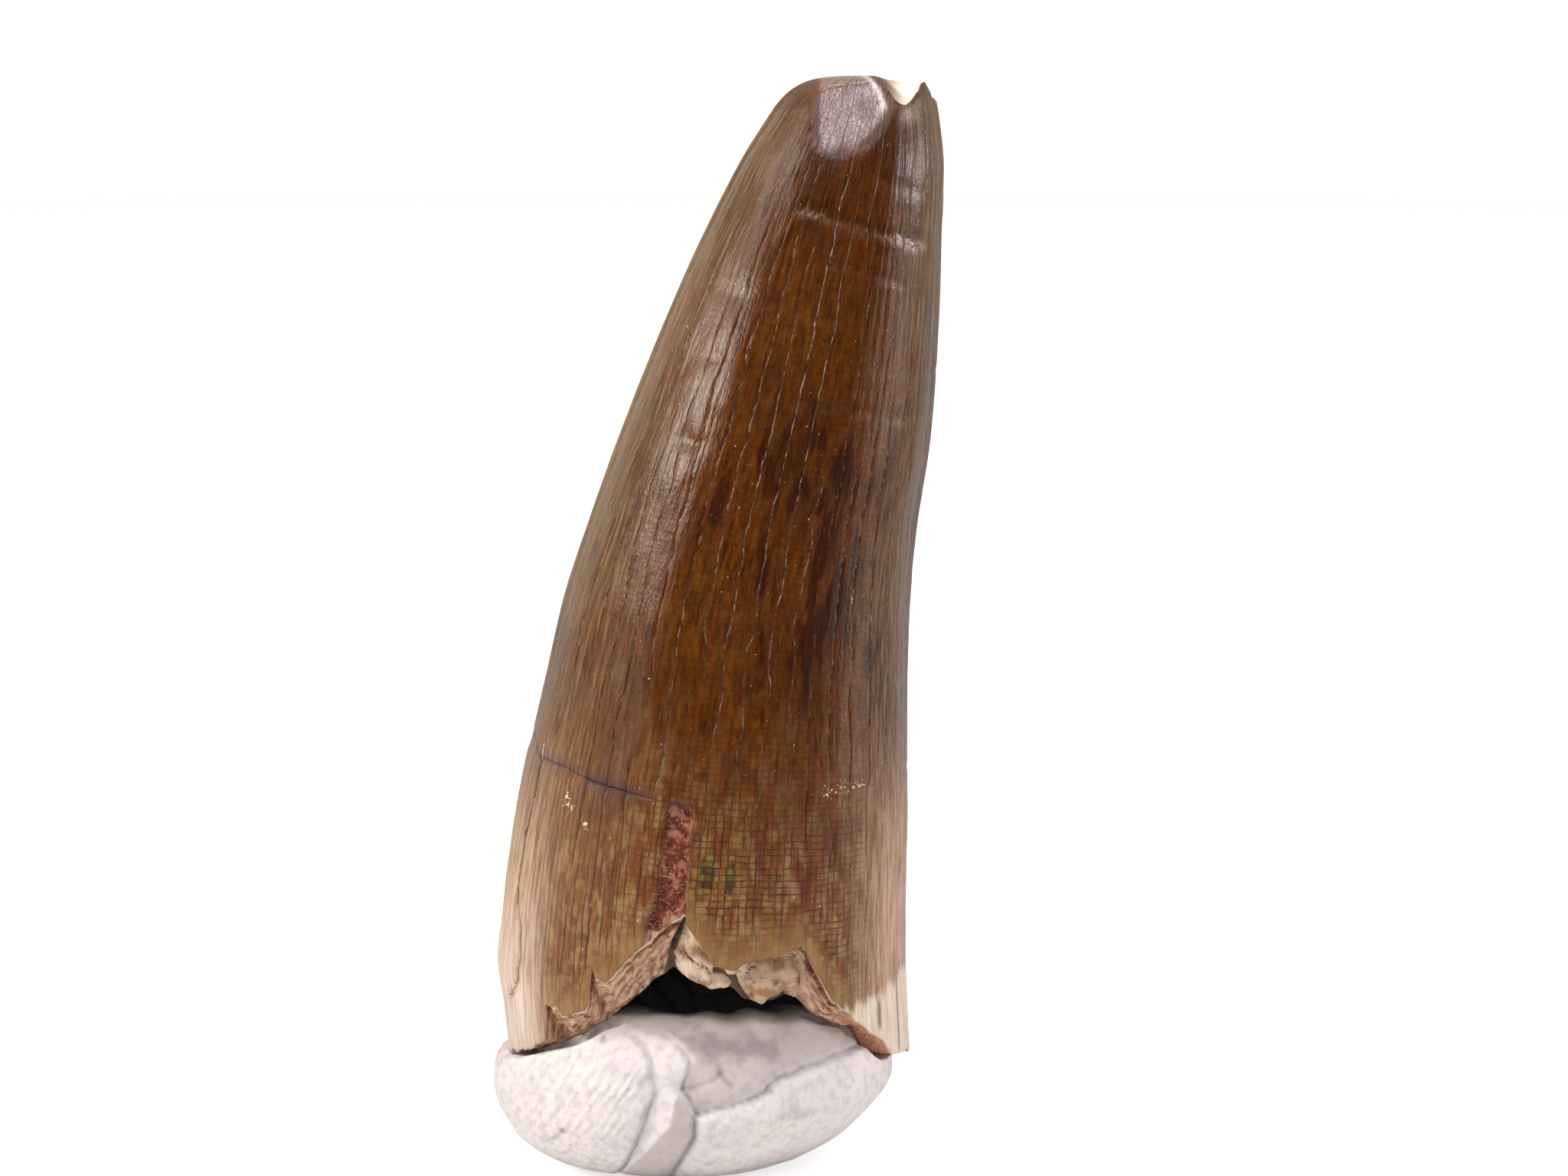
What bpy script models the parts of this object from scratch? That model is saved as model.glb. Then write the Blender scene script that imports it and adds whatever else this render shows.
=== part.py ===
"""Fossil crocodile tooth, standing in the lump of mounting putty that holds it upright.

The tooth is a hollow curved cone: brown enamel over cream dentine. Its tip is broken off, and its base
ends in a ragged fracture with a high notch at the front, open to the pulp cavity. The putty is a
squashed white lump of folded lobes under the base.

Lengths are in millimetres, and skin_object() turns them into metres. A turn is an angle in degrees
about the upright axis: 0 faces the front (-Y), 90 faces +X. Each solid is one flat grid, rolled round
the axis by a formula that gives a point for each turn and each step along the skin.
"""

import bmesh
import bpy
import numpy as np

METRES_PER_MM = 0.001

# Where the axis of the tooth's base stands, so that the whole is centred over the origin
BASE_X = -0.31
BASE_Y = 0.21

# The tooth: height above the table, shift of the axis to the right, half the width
TOOTH_SECTIONS = (
    (4.0, 0.00, 8.60),
    (8.0, -0.23, 8.66),
    (15.0, 0.16, 8.31),
    (21.0, 0.83, 7.66),
    (24.0, 1.24, 7.36),
    (27.0, 1.87, 6.99),
    (30.0, 2.64, 6.67),
    (33.0, 3.36, 6.22),
    (39.0, 4.79, 5.02),
    (42.5, 5.72, 4.12),
    (44.6, 6.25, 3.31),
    (46.0, 6.60, 2.80),
)
BASE_HEIGHT = 4.6
TOP_HEIGHT = 45.6
DEPTH_RATIO = 0.9
BACKWARD_CURL = 2.2

# Long flat facets run up the crown between these turns, and fade out towards the base
FACET_EDGES = (-150.0, -118.0, -90.0, -58.0, -24.0, 26.0, 60.0, 90.0, 122.0, 158.0, 210.0)
FACET_FLATNESS = 0.30
FACET_START = 12.0
FACET_FULL = 26.0
EDGE_RIDGE = 0.14
EDGE_RIDGE_WIDTH = 5.0

# The broken tip: a dome on the left, worn flat at the front, and a scooped break with a sharp spur on
# the right
DOME_RIM = ((-180.0, 44.4), (-90.0, 44.1), (-40.0, 44.3), (0.0, 44.7), (90.0, 44.6), (180.0, 44.4))
DOME_ROUNDNESS = 4.0
BREAK_START = 0.50
BREAK_FULL = 2.00
BREAK_HEIGHT = 44.2
BREAK_TILT = 0.24
BREAK_FRONT = -0.6
SPUR_TURN = 61.0
SPUR_WIDTH = 16.0
SPUR_RISE = 0.80
WEAR_TURN = -3.0
WEAR_TILT = 34.0
WEAR_HEIGHT = 42.6

# The ragged lower edge of the enamel, as turn and height, from the back round to the back
OUTER_EDGE = (
    (-180.0, 5.8), (-163.0, 5.1), (-150.0, 6.1), (-136.0, 5.0), (-118.0, 5.6), (-100.0, 4.6),
    (-77.0, 4.6), (-59.5, 5.3), (-50.0, 6.0), (-49.0, 7.6), (-44.0, 7.75), (-42.0, 7.4), (-33.8, 7.7),
    (-32.4, 8.1), (-31.8, 9.85), (-30.2, 9.2), (-26.8, 9.1), (-17.8, 10.6), (-10.1, 11.6), (-5.3, 12.1),
    (-3.9, 11.6), (2.1, 10.35), (3.4, 10.0), (9.2, 9.75), (11.7, 10.0), (20.4, 10.3), (29.2, 10.5),
    (33.0, 9.45), (38.5, 8.1), (42.8, 7.6), (56.0, 6.0), (66.0, 4.9), (87.0, 4.3), (104.0, 4.7),
    (117.0, 5.5), (131.0, 4.9), (148.0, 6.2), (162.0, 5.2), (180.0, 5.8),
)
# The edge where the fracture meets the pulp cavity
INNER_EDGE = (
    (-180.0, 5.3), (-160.0, 5.6), (-140.0, 5.2), (-120.0, 5.0), (-98.0, 4.9), (-77.0, 4.7),
    (-58.5, 5.5), (-49.5, 5.9), (-40.0, 6.5), (-33.0, 7.1), (-26.5, 7.7), (-20.0, 8.45), (-12.2, 9.3),
    (-9.0, 9.55), (-5.8, 9.25), (-1.0, 9.0), (5.0, 8.8), (11.1, 8.65), (13.3, 8.35), (17.4, 8.12),
    (23.8, 8.1), (28.2, 8.25), (33.0, 7.95), (36.0, 7.5), (41.0, 7.08), (51.0, 6.6), (55.6, 6.15),
    (59.5, 5.6), (63.2, 5.05), (67.5, 4.8), (80.0, 4.75), (104.0, 5.1), (125.0, 5.3), (150.0, 5.6),
    (180.0, 5.3),
)
WALL = 1.2
FRACTURE_BULGE = 0.22
# Under the enamel lip in the middle of the notch the fracture is undercut
LIP_TURN = 10.0
LIP_SPREAD = 19.0
# Knobs of cream matrix on the fracture: turn, spread in degrees, rise
KNOBS = ((-6.0, 5.0, 0.25), (3.0, 4.5, 0.35), (14.0, 3.5, 0.15), (23.0, 5.5, 0.40), (-22.0, 6.0, 0.18))
CAVITY_APEX = 20.5
CAVITY_POWER = 2.2

# The strip above the notch where the enamel has flaked off: height and turn of its two sides
STRIP_LEFT = ((11.0, -15.9), (12.4, -14.6), (12.9, -13.6), (14.8, -13.6), (16.0, -13.3), (16.6, -12.6))
STRIP_RIGHT = ((11.0, -4.9), (12.9, -5.6), (14.8, -5.3), (16.6, -6.0))
STRIP_TOP = 16.5
STRIP_DEPTH = 0.35

# The loose enamel plate at the left, left of a long crack, standing a little proud
PLATE_TURN = -78.0
PLATE_WIDTH = 8.0
PLATE_HEIGHT = 8.7
PLATE_SPREAD = 1.3
PLATE_RISE = 0.20

# The putty: its widest girth, its crest inside the tooth, and the flat it stands on
PUTTY_GIRTH = 8.4
PUTTY_GIRTH_HEIGHT = 3.65
PUTTY_SHIFT = -0.55
PUTTY_CREST = 7.5
PUTTY_CREST_RADIUS = 6.0
PUTTY_HOLLOW = 1.6
PUTTY_BACK_DROP = 1.2
PUTTY_SHOULDER_POWER = 2.2
PUTTY_FOOT = 4.3
PUTTY_FOOT_BACK = 0.2
PUTTY_POWER_LEFT = 2.0
PUTTY_POWER_RIGHT = 1.3
FLAP_TURN = -84.0
FLAP_WIDTH = 11.0
FLAP_RISE = 0.3
LEFT_DROP = 0.5
CLEARANCE = 0.32

# Folds between the putty's lobes on the front: across from the base axis, and height
LOBE_EDGE = (
    (-5.60, 7.50), (-3.74, 6.93), (-3.00, 6.84), (-2.55, 6.60), (-2.32, 6.26), (-2.22, 5.86),
    (-2.12, 5.16), (-2.15, 4.68), (-2.37, 4.04), (-2.65, 3.11), (-3.20, 1.69), (-4.00, -0.50),
)
TONGUE_EDGE = (
    (-3.20, 7.15), (-2.00, 6.92), (-1.46, 6.74), (-0.94, 6.27), (-0.72, 6.09), (-1.06, 5.08),
    (-0.72, 4.51), (-0.50, 4.04), (-0.41, 3.60), (-0.50, 2.93), (-0.83, 2.15), (-1.80, -0.50),
)
SEAM = (
    (-0.80, 3.75), (0.47, 4.02), (1.56, 4.30), (2.45, 4.62), (2.62, 4.90), (3.82, 5.28), (5.58, 5.52),
    (6.60, 5.55), (8.50, 5.30),
)
FOLD_STEP = 0.46
FOLD_ROUND = 0.7
FOLD_LIP = 0.5

# Mesh density: turns round each solid, packed closer at the front, and steps along each stretch
TOOTH_COLUMNS = 88
PUTTY_COLUMNS = 72
FRONT_CROWDING = 0.45
CAP_STEPS = 5
WALL_STEPS = 21
WALL_CROWDING = 1.25
FRACTURE_STEPS = 3
CAVITY_STEPS = 8
WELD_MM = 0.002
SHARP_ANGLE = np.radians(32.0)

ENAMEL_COLOUR = (0.115, 0.046, 0.018, 1.0)
ENAMEL_ROUGHNESS = 0.32
PUTTY_COLOUR = (0.80, 0.76, 0.72, 1.0)
PUTTY_ROUGHNESS = 0.72


def smooth_curve(x, stations, column):
    """A smooth curve through one column of a table: cubic pieces whose slopes agree at the stations."""
    table = np.array(stations)
    known_x, known_y = table[:, 0], table[:, column]
    slope = np.gradient(known_y, known_x)
    i = np.clip(np.searchsorted(known_x, x) - 1, 0, len(known_x) - 2)
    span = known_x[i + 1] - known_x[i]
    t = np.clip((x - known_x[i]) / span, 0.0, 1.0)
    start = known_y[i] * (1 + 2 * t) * (1 - t) ** 2 + known_y[i + 1] * (3 - 2 * t) * t ** 2
    return start + span * t * (1 - t) * (slope[i] * (1 - t) - slope[i + 1] * t)


def straight_curve(x, points):
    """Straight lines through a table of pairs."""
    table = np.array(points)
    return np.interp(x, table[:, 0], table[:, 1])


def ease(value, low, high):
    """0 below low, 1 above high, and a smooth rise between them."""
    t = np.clip((value - low) / (high - low), 0.0, 1.0)
    return t * t * (3 - 2 * t)


def hump(value, centre, width):
    """A bell that is 1 at the centre."""
    return np.exp(-((value - centre) / width) ** 2)


def front_crowded_turns(share):
    """Turns from -180 to 180 for shares from 0 to 1, closer together at the front."""
    sweep = 2 * np.pi * (share - 0.5)
    return np.degrees(sweep - FRONT_CROWDING * np.sin(sweep))


def facet_factor(turn, height):
    """How much the flat facets pull the round section in: part of the way to the chord between edges."""
    edges = np.array(FACET_EDGES)
    wrapped = np.where(turn < edges[0], turn + 360.0, turn)
    i = np.clip(np.searchsorted(edges, wrapped) - 1, 0, len(edges) - 2)
    middle = np.radians((edges[i] + edges[i + 1]) / 2)
    half_span = np.radians((edges[i + 1] - edges[i]) / 2)
    chord = np.cos(half_span) / np.cos(np.radians(wrapped) - middle)
    return 1 - FACET_FLATNESS * ease(height, FACET_START, FACET_FULL) * (1 - chord)


def strip_mask(turn, height):
    """1 inside the flaked strip and 0 on sound enamel."""
    left, right = straight_curve(height, STRIP_LEFT), straight_curve(height, STRIP_RIGHT)
    across = ease(turn, left - 0.8, left + 0.8) - ease(turn, right - 0.8, right + 0.8)
    return across * (1 - ease(height, STRIP_TOP - 0.3, STRIP_TOP + 0.3))


def half_width(turn, height):
    """Half the width of the section, with the facets, the two side ridges, the strip and the plate."""
    half = smooth_curve(height, TOOTH_SECTIONS, 2) * facet_factor(turn, height)
    ridges = EDGE_RIDGE * (hump(abs(turn), 90.0, EDGE_RIDGE_WIDTH) - 1)
    ridges = ridges * ease(height, FACET_START, FACET_FULL)
    plate = PLATE_RISE * hump(turn, PLATE_TURN, PLATE_WIDTH) * hump(height, PLATE_HEIGHT, PLATE_SPREAD)
    return half + ridges + plate - STRIP_DEPTH * strip_mask(turn, height)


def section_point(turn, height, half):
    """Point of a level section at a turn: an ellipse about the curved axis, flatter front to back."""
    angle = np.radians(turn)
    rise = np.clip((height - BASE_HEIGHT) / (TOP_HEIGHT - BASE_HEIGHT), 0.0, 1.2)
    x = BASE_X + smooth_curve(height, TOOTH_SECTIONS, 1) + half * np.sin(angle)
    y = BASE_Y + BACKWARD_CURL * rise ** 2 - DEPTH_RATIO * half * np.cos(angle)
    return np.stack([x, y, height + 0 * x], axis=-1)


def worn(point):
    """Grind the front of the tip to a flat: points outside the plane move straight back to it."""
    turn, tilt = np.radians(WEAR_TURN), np.radians(WEAR_TILT)
    outwards = np.array([np.sin(turn) * np.cos(tilt), -np.cos(turn) * np.cos(tilt), np.sin(tilt)])
    low_turn, low_height = np.array(WEAR_TURN), np.array(WEAR_HEIGHT)
    low = section_point(low_turn, low_height, half_width(low_turn, low_height))
    beyond = np.maximum((point - low) @ outwards, 0)
    return point - beyond[..., None] * outwards


def break_share(x):
    """0 on the worn dome and 1 on the scooped break, which starts to the right of the tip's centre."""
    centre = BASE_X + smooth_curve(np.array(TOP_HEIGHT), TOOTH_SECTIONS, 1)
    return ease(x - centre, BREAK_START, BREAK_FULL)


def rim_height(turn):
    """Height where the outer wall ends at the tip: the dome's rim, the break, and its spur."""
    dome = straight_curve(turn, DOME_RIM)
    point = section_point(turn, dome, half_width(turn, dome))
    broken = BREAK_HEIGHT + SPUR_RISE * hump(turn, SPUR_TURN, SPUR_WIDTH)
    broken = broken + BREAK_TILT * (point[..., 1] - BREAK_FRONT)
    dome_edge = dome + (TOP_HEIGHT - dome) * hump(turn, 16.0, 14.0)
    return dome_edge + (broken - dome_edge) * break_share(point[..., 0])


def tip_cap(turn, s):
    """The top of the tooth, from the rim at s = 1 to the pole at s = 0.

    Level position: straight from the rim to the pole. Height: a flattened dome, replaced on the right
    by the dished floor of the break, which rises to the back and whose rim is the wall's sharp edge.
    """
    rim_z = rim_height(turn)
    rim = section_point(turn, rim_z, half_width(turn, rim_z))
    top = np.array(TOP_HEIGHT)
    pole = section_point(np.array(0.0), top, np.array(0.0))
    point = pole + (rim - pole) * s[..., None]
    dome = TOP_HEIGHT - (TOP_HEIGHT - rim_z) * s ** DOME_ROUNDNESS
    floor = BREAK_HEIGHT + BREAK_TILT * (point[..., 1] - BREAK_FRONT) - 0.25 * (1 - s ** 2)
    floor = floor + (rim_z - floor) * ease(s, 0.80, 1.0)
    point[..., 2] = dome + (floor - dome) * break_share(point[..., 0])
    return worn(point)


def outer_wall(turn, s):
    """The enamel, from the tip's rim at s = 0 to the broken edge at s = 1."""
    top, bottom = rim_height(turn), straight_curve(turn, OUTER_EDGE)
    height = top + (bottom - top) * s
    return worn(section_point(turn, height, half_width(turn, height)))


def cavity_wall(turn, s):
    """The pulp cavity, from the fracture at s = 0 to its apex at s = 1: the wall's inside, closing in."""
    bottom = straight_curve(turn, INNER_EDGE)
    height = bottom + (CAVITY_APEX - bottom) * s
    rise = np.clip((height - BASE_HEIGHT) / (CAVITY_APEX - BASE_HEIGHT), 0.0, 1.0)
    half = smooth_curve(height, TOOTH_SECTIONS, 2) - WALL
    return section_point(turn, height, half * (1 - rise ** CAVITY_POWER) ** 0.6)


def fracture(turn, s):
    """The broken face between the enamel's edge and the cavity's, bulging down, with knobs of matrix."""
    outer = outer_wall(turn, np.ones_like(turn))
    inner = cavity_wall(turn, np.zeros_like(turn))
    undercut = hump(turn, LIP_TURN, LIP_SPREAD)
    inward = s + undercut * (ease(s, 0.0, 0.33) - s) * 0.7 * (1 - s)
    down = s ** (1 + undercut)
    point = outer + (inner - outer) * np.stack([inward, inward, down], axis=-1)
    knobs = sum(rise * hump(turn, at, spread) for at, spread, rise in KNOBS)
    point[..., 1] -= knobs * ease(s, 0.2, 0.7) * ease(1 - s, 0.0, 0.4) * np.cos(np.radians(turn))
    point[..., 2] -= FRACTURE_BULGE * 4 * s * (1 - s)
    return point


def stretch(function, turns, shares):
    """Rows of points along one stretch of skin, one row for each share."""
    grid_turns, grid_shares = np.meshgrid(turns, shares)
    return function(grid_turns, grid_shares)


def tooth_skin(turns):
    """All rows of the tooth, from the middle of the tip, down outside, and up into the cavity."""
    return np.concatenate([
        stretch(tip_cap, turns, np.linspace(0, 1, CAP_STEPS + 1) ** 0.6)[:-1],
        stretch(outer_wall, turns, 1 - np.linspace(1, 0, WALL_STEPS + 1) ** WALL_CROWDING),
        stretch(fracture, turns, np.linspace(0, 1, FRACTURE_STEPS + 1)[1:-1]),
        stretch(cavity_wall, turns, np.linspace(0, 1, CAVITY_STEPS + 1) ** 0.8),
    ])


def girth_radius(turn):
    """Distance from the base axis to the putty's widest line: a shifted circle with a pinched flap."""
    circle = PUTTY_GIRTH + PUTTY_SHIFT * np.sin(np.radians(turn))
    return circle + FLAP_RISE * hump(turn, FLAP_TURN, FLAP_WIDTH)


def wall_radius(turn):
    """Distance from the base axis to the inside of the tooth's wall at its foot."""
    point = cavity_wall(turn, np.zeros_like(turn))
    return np.hypot(point[..., 0] - BASE_X, point[..., 1] - BASE_Y)


def ceiling(turn):
    """Highest that the putty may reach under the tooth's broken edge."""
    return np.minimum(straight_curve(turn, OUTER_EDGE), straight_curve(turn, INNER_EDGE)) - CLEARANCE


def lowest_near(function, turn, reach):
    """The lowest value of a function within some degrees either side of each turn."""
    near = [(turn + shift + 180) % 360 - 180 for shift in np.linspace(-reach, reach, 9)]
    return np.min([function(near_turn) for near_turn in near], axis=0)


def fold_relief(x, z):
    """How far the overlapping lobes stand out at the front: a step at each fold, rounded on its edge."""
    def lobe(depth):
        rounded = 1 - (1 - FOLD_LIP) * np.exp(-np.maximum(depth, 0) / FOLD_ROUND)
        return FOLD_STEP * np.where(depth > 0, rounded, 0.0)

    def edge_at(points):
        table = np.array(points)[::-1]
        return np.interp(z, table[:, 1], table[:, 0])

    across = x - BASE_X
    tongue_edge = edge_at(TONGUE_EDGE)
    under_seam = np.minimum(straight_curve(across, SEAM) - z, across - tongue_edge)
    return lobe(edge_at(LOBE_EDGE) - across) + lobe(tongue_edge - across) + lobe(under_seam)


def with_folds(point, turn, strength):
    """Push points of the putty outwards by the fold relief, at the front only."""
    angle = np.radians(turn)
    relief = fold_relief(point[..., 0], point[..., 2]) * strength * ease(np.cos(angle), 0.05, 0.5)
    point[..., 0] += relief * np.sin(angle)
    point[..., 1] -= relief * np.cos(angle)
    return point


def putty_top(turn, s):
    """The putty's upper side, from the axis at s = 0 to its girth at s = 1.

    Inside the tooth it is a shallow bowl that rises to a crest. Past the crest it rolls over to the
    girth, and it stays below the tooth's broken edge wherever the wall stands on it. Beyond the wall on
    the left it is squashed lower.
    """
    inside = wall_radius(turn) - CLEARANCE
    girth = girth_radius(turn)
    outside = inside + (girth - inside) * (s - 0.5) / 0.5
    radius = np.where(s < 0.5, inside * np.minimum(s / 0.5, 1.0), outside)
    past = np.clip((radius - PUTTY_CREST_RADIUS) / (girth - PUTTY_CREST_RADIUS), 0.0, 1.0)
    roll = (1 - past ** PUTTY_SHOULDER_POWER) ** (1 / PUTTY_SHOULDER_POWER)
    bowl = PUTTY_HOLLOW * (1 - np.minimum(radius / PUTTY_CREST_RADIUS, 1.0) ** 2) ** 2
    crest = PUTTY_CREST - PUTTY_BACK_DROP * ease(-np.cos(np.radians(turn)), -0.8, 0.2)
    height = PUTTY_GIRTH_HEIGHT + (crest - PUTTY_GIRTH_HEIGHT) * roll - bowl
    capped = np.minimum(height, lowest_near(ceiling, turn, 4.0))
    height = np.where(s > 0.5, capped, height)
    height = height - LEFT_DROP * ease(radius, 8.3, 9.0) * hump(turn, -95.0, 35.0) * roll
    return with_folds(polar_point(turn, radius, height), turn, ease(s, 0.5, 0.9))


def putty_side(turn, s):
    """The putty from its girth at s = 0, curving in and down to the flat that it stands on at s = 1."""
    lean = ease(np.sin(np.radians(turn)), -1.0, 1.0)
    power = PUTTY_POWER_LEFT + (PUTTY_POWER_RIGHT - PUTTY_POWER_LEFT) * lean
    angle = np.radians(turn)
    foot = PUTTY_FOOT + PUTTY_SHIFT * np.sin(angle) - PUTTY_FOOT_BACK * np.cos(angle)
    share = (1 - s ** power) ** (1 / power)
    point = polar_point(turn, foot + (girth_radius(turn) - foot) * share, PUTTY_GIRTH_HEIGHT * (1 - s))
    return with_folds(point, turn, ease(1 - s, 0.0, 0.15))


def putty_base(turn, s):
    """The flat under the putty, from its rim at s = 0 to the middle at s = 1."""
    rim = putty_side(turn, np.ones_like(turn))
    middle = np.array([BASE_X + PUTTY_SHIFT, BASE_Y + PUTTY_FOOT_BACK, 0.0])
    return rim + (middle - rim) * s[..., None]


def polar_point(turn, radius, height):
    """Point at a radius from the base axis."""
    angle = np.radians(turn)
    x = BASE_X + radius * np.sin(angle)
    y = BASE_Y - radius * np.cos(angle)
    return np.stack([x, y, height + 0 * x], axis=-1)


def putty_skin(turns):
    """All rows of the putty, from the middle of its top, outwards, down, and in to its middle below."""
    top_shares = np.array([0.0, 0.16, 0.30, 0.42, 0.5, 0.502, 0.62, 0.76, 0.87, 0.95, 1.0])
    side_shares = np.array([0.12, 0.26, 0.40, 0.54, 0.68, 0.80, 0.90, 0.97, 1.0])
    return np.concatenate([
        stretch(putty_top, turns, top_shares),
        stretch(putty_side, turns, side_shares),
        stretch(putty_base, turns, np.array([0.5, 1.0])),
    ])


def skin_object(name, skin, columns, collection, material):
    """Make a solid: a flat grid rolled round the axis, with its seam and its two poles welded."""
    turns = front_crowded_turns(np.linspace(0, 1, columns + 1))
    rows = skin(turns) * METRES_PER_MM
    grid = bmesh.new()
    bmesh.ops.create_grid(grid, x_segments=columns, y_segments=len(rows) - 1, size=1.0)
    for vertex in grid.verts:
        column = round((vertex.co.x + 1) / 2 * columns)
        row = round((1 - vertex.co.y) / 2 * (len(rows) - 1))
        vertex.co = rows[row, column]
    bmesh.ops.remove_doubles(grid, verts=grid.verts, dist=WELD_MM * METRES_PER_MM)
    bmesh.ops.recalc_face_normals(grid, faces=grid.faces)
    mesh = bpy.data.meshes.new(name)
    grid.to_mesh(mesh)
    grid.free()
    mesh.shade_smooth()
    mesh.set_sharp_from_angle(angle=SHARP_ANGLE)
    mesh.materials.append(material)
    solid = bpy.data.objects.new(name, mesh)
    collection.objects.link(solid)
    return solid


def plain_material(name, colour, roughness):
    """A Principled material of one colour."""
    material = bpy.data.materials.new(name)
    material.use_nodes = True
    shader = material.node_tree.nodes["Principled BSDF"]
    shader.inputs["Base Color"].default_value = colour
    shader.inputs["Roughness"].default_value = roughness
    return material


def clear_scene():
    for item in list(bpy.data.objects):
        bpy.data.objects.remove(item, do_unlink=True)


def main():
    clear_scene()
    collection = bpy.data.collections.new("fossil_tooth")
    bpy.context.scene.collection.children.link(collection)
    enamel = plain_material("brown_enamel", ENAMEL_COLOUR, ENAMEL_ROUGHNESS)
    white = plain_material("white_putty", PUTTY_COLOUR, PUTTY_ROUGHNESS)
    skin_object("tooth", tooth_skin, TOOTH_COLUMNS, collection, enamel)
    skin_object("putty", putty_skin, PUTTY_COLUMNS, collection, white)


main()
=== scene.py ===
# %% [markdown]
# # A fossil crocodile tooth in a lump of putty
#
# This lesson dresses a plain, accurate model of a fossil tooth until it looks like the real thing. The
# tooth is a hollow cone of brown enamel, forty-one millimetres tall. Its tip is broken, its base is
# cracked open at the front, and it stands in a squashed lump of white mounting putty.
#
# Both pieces are made in the same way. A flat grid of points is rolled round the upright axis by a
# formula, and the formula is then given finer and finer relief. The materials read patterns that are
# laid out on the same grid, so streaks and cracks follow the growth of the tooth.

import bpy
import numpy as np
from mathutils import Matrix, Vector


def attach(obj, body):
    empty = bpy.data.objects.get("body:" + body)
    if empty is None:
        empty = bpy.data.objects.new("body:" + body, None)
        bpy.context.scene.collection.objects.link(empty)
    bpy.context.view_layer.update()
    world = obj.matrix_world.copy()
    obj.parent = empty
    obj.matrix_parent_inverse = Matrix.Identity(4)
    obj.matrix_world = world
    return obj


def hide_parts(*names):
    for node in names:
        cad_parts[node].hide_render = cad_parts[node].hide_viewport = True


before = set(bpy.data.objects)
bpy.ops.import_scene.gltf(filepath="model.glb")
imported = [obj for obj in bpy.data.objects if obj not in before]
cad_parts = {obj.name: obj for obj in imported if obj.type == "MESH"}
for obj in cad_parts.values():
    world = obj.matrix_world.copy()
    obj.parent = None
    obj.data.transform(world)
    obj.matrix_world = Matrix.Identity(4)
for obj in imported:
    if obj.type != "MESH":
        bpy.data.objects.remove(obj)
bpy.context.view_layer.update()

# %% [markdown]
# ## Where things stand
#
# All shapes are worked out in millimetres, because a tooth's details are tenths of a millimetre, and
# they turn into metres when a mesh is filled. A turn is an angle in degrees about the upright axis: 0
# faces the front, and 90 faces +X. The axis of the tooth's base stands a little off the origin, because
# the leaning tip moves the middle of the whole object.

# %% Units and the axis
METRES_PER_MM = 0.001
BASE_X = -0.31
BASE_Y = 0.21
BASE_HEIGHT = 4.6
TOP_HEIGHT = 45.6

# %% [markdown]
# ## The camera
#
# The photo looks slightly down at the tooth from close by. A long lens keeps the sides nearly parallel.
# The distance is worked out from the scale: 31 photo pixels for a millimetre at the tooth's axis.

# %% The camera
PHOTO_WIDTH = 2048
PIXELS_PER_MM = 31.0
LENS = 85.0
SENSOR = 36.0
CAMERA_PITCH = np.radians(10.0)
AIM = np.array([2.88, BASE_Y, 24.3])

distance = LENS / SENSOR * PHOTO_WIDTH / PIXELS_PER_MM
backwards = np.array([0.0, -np.cos(CAMERA_PITCH), np.sin(CAMERA_PITCH)])
camera = bpy.data.objects.new("camera", bpy.data.cameras.new("camera"))
camera.data.lens = LENS
camera.data.sensor_width = SENSOR
camera.data.clip_start = 0.005
camera.location = (AIM + distance * backwards) * METRES_PER_MM
camera.rotation_euler = (np.pi / 2 - CAMERA_PITCH, 0.0, 0.0)
bpy.context.scene.collection.objects.link(camera)
bpy.context.scene.camera = camera
bpy.context.scene.view_settings.view_transform = "Standard"
print("camera distance in mm:", round(distance, 1))

# %% [markdown]
# ## Helpers for smooth shapes
#
# Natural forms come from a few kinds of curve. A table of stations with a smooth curve through it gives
# the slow changes, straight lines between points give ragged edges, and bells and eased steps place
# single features. Lattice noise gives everything irregular: random values at whole numbers, blended
# between them. It is worked out from whole-number arithmetic, so it is the same on each run.

# %% Curves, steps and bells
def smooth_curve(x, stations, column):
    """Cubic pieces through one column of a table, with slopes that agree at the stations."""
    table = np.array(stations)
    known_x, known_y = table[:, 0], table[:, column]
    slope = np.gradient(known_y, known_x)
    i = np.clip(np.searchsorted(known_x, x) - 1, 0, len(known_x) - 2)
    span = known_x[i + 1] - known_x[i]
    t = np.clip((x - known_x[i]) / span, 0.0, 1.0)
    start = known_y[i] * (1 + 2 * t) * (1 - t) ** 2 + known_y[i + 1] * (3 - 2 * t) * t ** 2
    return start + span * t * (1 - t) * (slope[i] * (1 - t) - slope[i + 1] * t)


def straight_curve(x, points):
    """Straight lines through a table of pairs whose first values grow."""
    table = np.array(points)
    return np.interp(x, table[:, 0], table[:, 1])


def ease(value, low, high):
    """0 below low, 1 above high, and a smooth rise between them: 3t squared less 2t cubed."""
    t = np.clip((value - low) / (high - low), 0.0, 1.0)
    return t * t * (3 - 2 * t)


def hump(value, centre, width):
    """A bell that is 1 at the centre and falls away over the width."""
    return np.exp(-((value - centre) / width) ** 2)


def marks(across, up, table):
    """Sum of oval bells. Each row has a centre across and up, two half widths, and a strength."""
    return sum(strength * hump(across, at, half_width) * hump(up, high, half_height)
               for at, high, half_width, half_height, strength in table)


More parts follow.
